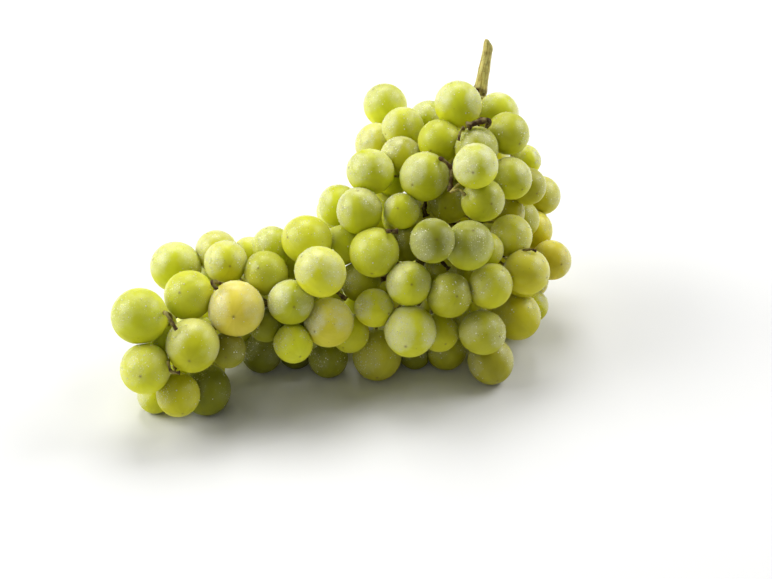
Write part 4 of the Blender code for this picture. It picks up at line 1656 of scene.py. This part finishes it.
    def stalks(self) -> None:
        """Lay a stalk from each root into the dimple of its berry, with a warty collar.

        Its path is the cubic that leaves the root straight for the berry and arrives
        along the berry's own axis.
        """
        skins = self.skins
        layout = skins.layout
        poles = layout.points - skins.axes * layout.radii[:, None] * 0.93
        run = np.linspace(0.0, 1.0, 18)
        span = np.linalg.norm(poles - layout.feet, axis=1)[:, None]
        leave = unit(poles - layout.feet) * span
        arrive = skins.axes * span * 0.9
        a = (2 * run**3 - 3 * run**2 + 1)[None, :, None]
        b = (run**3 - 2 * run**2 + run)[None, :, None]
        c = (-2 * run**3 + 3 * run**2)[None, :, None]
        d = (run**3 - run**2)[None, :, None]
        paths = a * layout.feet[:, None] + b * leave[:, None] + c * poles[:, None] + d * arrive[:, None]
        back = span * (1.0 - run[None])
        radius = self.stalk + 0.55 * bell(back, 1.3) + 0.18 * bell(back - 1.6, 0.45)
        aged = 0.45 + 0.45 * bell(back, 1.8) + 0.3 * bell(run[None], 0.15)
        self.add_tubes(paths, radius, np.clip(aged, 0.0, 1.0), 8, ridge=0.05)

    def room(self, spots: np.ndarray) -> np.ndarray:
        """Return the room between each spot and the nearest berry.

        Args:
            spots: Points in space.

        Returns:
            A distance for each point, below zero inside a berry.
        """
        layout = self.skins.layout
        gap = np.linalg.norm(spots[..., None, :] - layout.points, axis=-1) - layout.radii
        return gap.min(axis=-1)

    def in_sight(self, spots: np.ndarray) -> np.ndarray:
        """Tell which spots have no berry before them as seen from the front.

        Args:
            spots: Points in space.

        Returns:
            True for each point in sight.
        """
        layout = self.skins.layout
        eye = AIM - EYE_DISTANCE * AWAY
        ray = spots - eye
        far = np.linalg.norm(ray, axis=1)
        ray = ray / far[:, None]
        middle = layout.points - eye
        along = ray @ middle.T
        off = (middle**2).sum(axis=1)[None] - along**2
        near = along - np.sqrt(np.maximum(layout.radii[None] ** 2 - off, 0.0))
        return ~((off < layout.radii[None] ** 2) & (near < far[:, None])).any(axis=1)

    def seat(self, marks: np.ndarray, radius: float) -> np.ndarray:
        """Find how deep a bare bit of stem lies.

        Along each line of sight the depths before the first berry are tried, and the
        deepest one that keeps the best room from the berries is taken.

        Args:
            marks: Its points across and up.
            radius: Its radius.

        Returns:
            Its points.
        """
        depths = np.linspace(*self.sight)
        ones = np.ones(len(depths))
        spots = np.stack([from_view(x * ones, y * ones, depths) for x, y in marks])
        room = self.room(spots)
        seen = np.cumsum(room < 0.0, axis=1) == 0
        worth = np.where(seen, np.minimum(room, radius + 0.4) + 0.004 * depths[None], -99.0)
        best = int(worth.mean(axis=0).argmax())
        chosen = np.where(worth[:, best] > -50.0, best, worth.argmax(axis=1))
        return spots[np.arange(len(marks)), chosen]

    def anchor(self, spot: np.ndarray) -> np.ndarray:
        """Find the point of the stem from which a bare bit grows.

        Args:
            spot: First point of the bit.

        Returns:
            The point with the shortest way to it, where what lies in sight counts as
            seven times as long and what lies inside a berry as 25 times.
        """
        layout = self.skins.layout
        roads = [AXIS]
        for start, end in layout.branches:
            roads.append(start + np.linspace(0.0, 1.0, 20)[:, None] * (end - start))
        poles = layout.points - self.skins.axes * layout.radii[:, None]
        share = np.linspace(0.0, 0.7, 6)[None, :, None]
        roads.append((layout.feet[:, None] + share * (poles - layout.feet)[:, None]).reshape(-1, 3))
        places = np.concatenate(roads)
        steps = np.linspace(0.1, 1.0, 19)[None, :, None]
        ways = places[:, None] + steps * (spot - places)[:, None]
        inside = np.maximum(0.3 - self.room(ways), 0.0).max(axis=1)
        shown = self.in_sight(ways[:, :-3].reshape(-1, 3)).reshape(len(places), -1).mean(axis=1)
        length = np.linalg.norm(places - spot, axis=1)
        cost = length * (1.0 + 6.0 * shown) + 25.0 * inside
        return places[int(cost.argmin())]

    def scraps(self) -> None:
        """Lay the bare bits of stem that show between the berries, each grown from the stem."""
        for marks, radius, aged in SCRAPS:
            bit = self.seat(np.array(marks), radius)
            root = self.anchor(bit[0])
            path = spline(np.vstack([root, (root + bit[0]) / 2, bit]), 40)
            share = np.linspace(0.0, 1.0, 40)
            grown = np.clip(share * (len(bit) + 1) - 1.2, 0.0, 1.0)
            width = self.scrap + (radius - self.scrap) * grown
            width = width * (1.0 + 0.16 * np.sin(share * 21.0 + radius * 40.0) + 0.10 * np.sin(share * 47.0))
            width = width * (1.0 + 0.35 * bell(share - 0.97, 0.05))
            brown = np.clip(aged + 0.5 * bell(share - 1.0, 0.12), 0.0, 1.0)
            self.add_tubes(path[None], width[None], brown[None], 12, ridge=0.07)

    def build(self, finish: Finish) -> Thing:
        """Build the whole stem.

        Args:
            finish: The material.

        Returns:
            The piece.
        """
        self.main_axis()
        self.branches()
        self.stalks()
        self.scraps()
        piece = add_mesh("rachis_stem", np.concatenate(self.points), self.quads + self.fans, finish)
        set_colours(piece, "marks", np.concatenate(self.marks))
        set_map(piece, np.concatenate(self.maps)[corner_points(piece)])
        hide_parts("rachis")
        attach(piece, "root")
        LOG.info("%s: %d faces", piece.name, len(piece.data.polygons))
        return piece


@dataclass
class Studio:
    """Plain pale floor, soft lights and the camera."""

    floor_colour: Colour = (0.82, 0.82, 0.815, 1.0)
    floor_half: float = 4.0
    sensor: float = 36.0
    air: float = 0.08

    def floor(self) -> None:
        """Lay the floor just under the bunch."""
        half = self.floor_half
        rows = [(-half, -half, 0.0), (half, -half, 0.0), (half, half, 0.0), (-half, half, 0.0)]
        data = bpy.data.meshes.new("floor")
        data.from_pydata(rows, [], [(0, 1, 2, 3)])
        paper = Shader("floor_paper")
        data.materials.append(paper.dress({"Base Color": self.floor_colour, "Roughness": 0.85}))
        put_in_scene("floor", data)

    def light(
        self, name: str, spot: tuple[float, float, float], size: float, power: float, height: float,
    ) -> None:
        """Hang a square soft white light.

        Args:
            name: Name of the light.
            spot: Where it hangs.
            size: Length of its sides.
            power: Its power.
            height: How high over the middle of the floor it is aimed.
        """
        data = bpy.data.lights.new(name, "AREA")
        data.shape = "SQUARE"
        data.size = size
        data.energy = power
        turn = (Vector((0.0, 0.0, height)) - Vector(spot)).to_track_quat("-Z", "Y")
        made = put_in_scene(name, data)
        made.matrix_world = Matrix.Translation(Vector(spot)) @ turn.to_matrix().to_4x4()

    def camera(self) -> None:
        """Set the camera on the line from which the bunch was measured."""
        eye = Vector((AIM - EYE_DISTANCE * AWAY - BOX_MIDDLE) * MM)
        data = bpy.data.cameras.new("camera")
        data.sensor_width = self.sensor
        data.lens = self.sensor * EYE_DISTANCE / (FRAME_PIXELS * MM_PER_PIXEL)
        data.clip_start = 0.01
        turn = Matrix((RIGHT.tolist(), UP.tolist(), (-AWAY).tolist())).transposed()
        made = put_in_scene("camera", data)
        made.matrix_world = Matrix.Translation(eye) @ turn.to_4x4()
        bpy.context.scene.camera = made

    def build(self) -> None:
        """Set up the whole studio."""
        scene = bpy.context.scene
        world = bpy.data.worlds.new("studio_air")
        world.use_nodes = True
        back = world.node_tree.nodes["Background"]
        back.inputs["Color"].default_value = (1.0, 1.0, 1.0, 1.0)
        back.inputs["Strength"].default_value = self.air
        scene.world = world
        scene.view_settings.view_transform = "Standard"
        scene.view_settings.look = "None"
        self.floor()
        for row in LIGHTS:
            self.light(*row)
        self.camera()


def main() -> None:
    """Build the bunch and its studio, and note how large it is."""
    logging.basicConfig(level=logging.INFO, format="%(name)s: %(message)s")
    layout = BunchLayout()
    layout.build()
    skins = BerrySkins(layout)
    skins.turn_berries()
    skin = GrapeSkin().material()
    water = DewWater().material()
    for kind in TIERS:
        skins.build(kind, skin)
        Dew(skins).build(kind, water)
    Rachis(skins).build(StemBark().material())
    Studio().build()


if __name__ == "__main__":
    main()
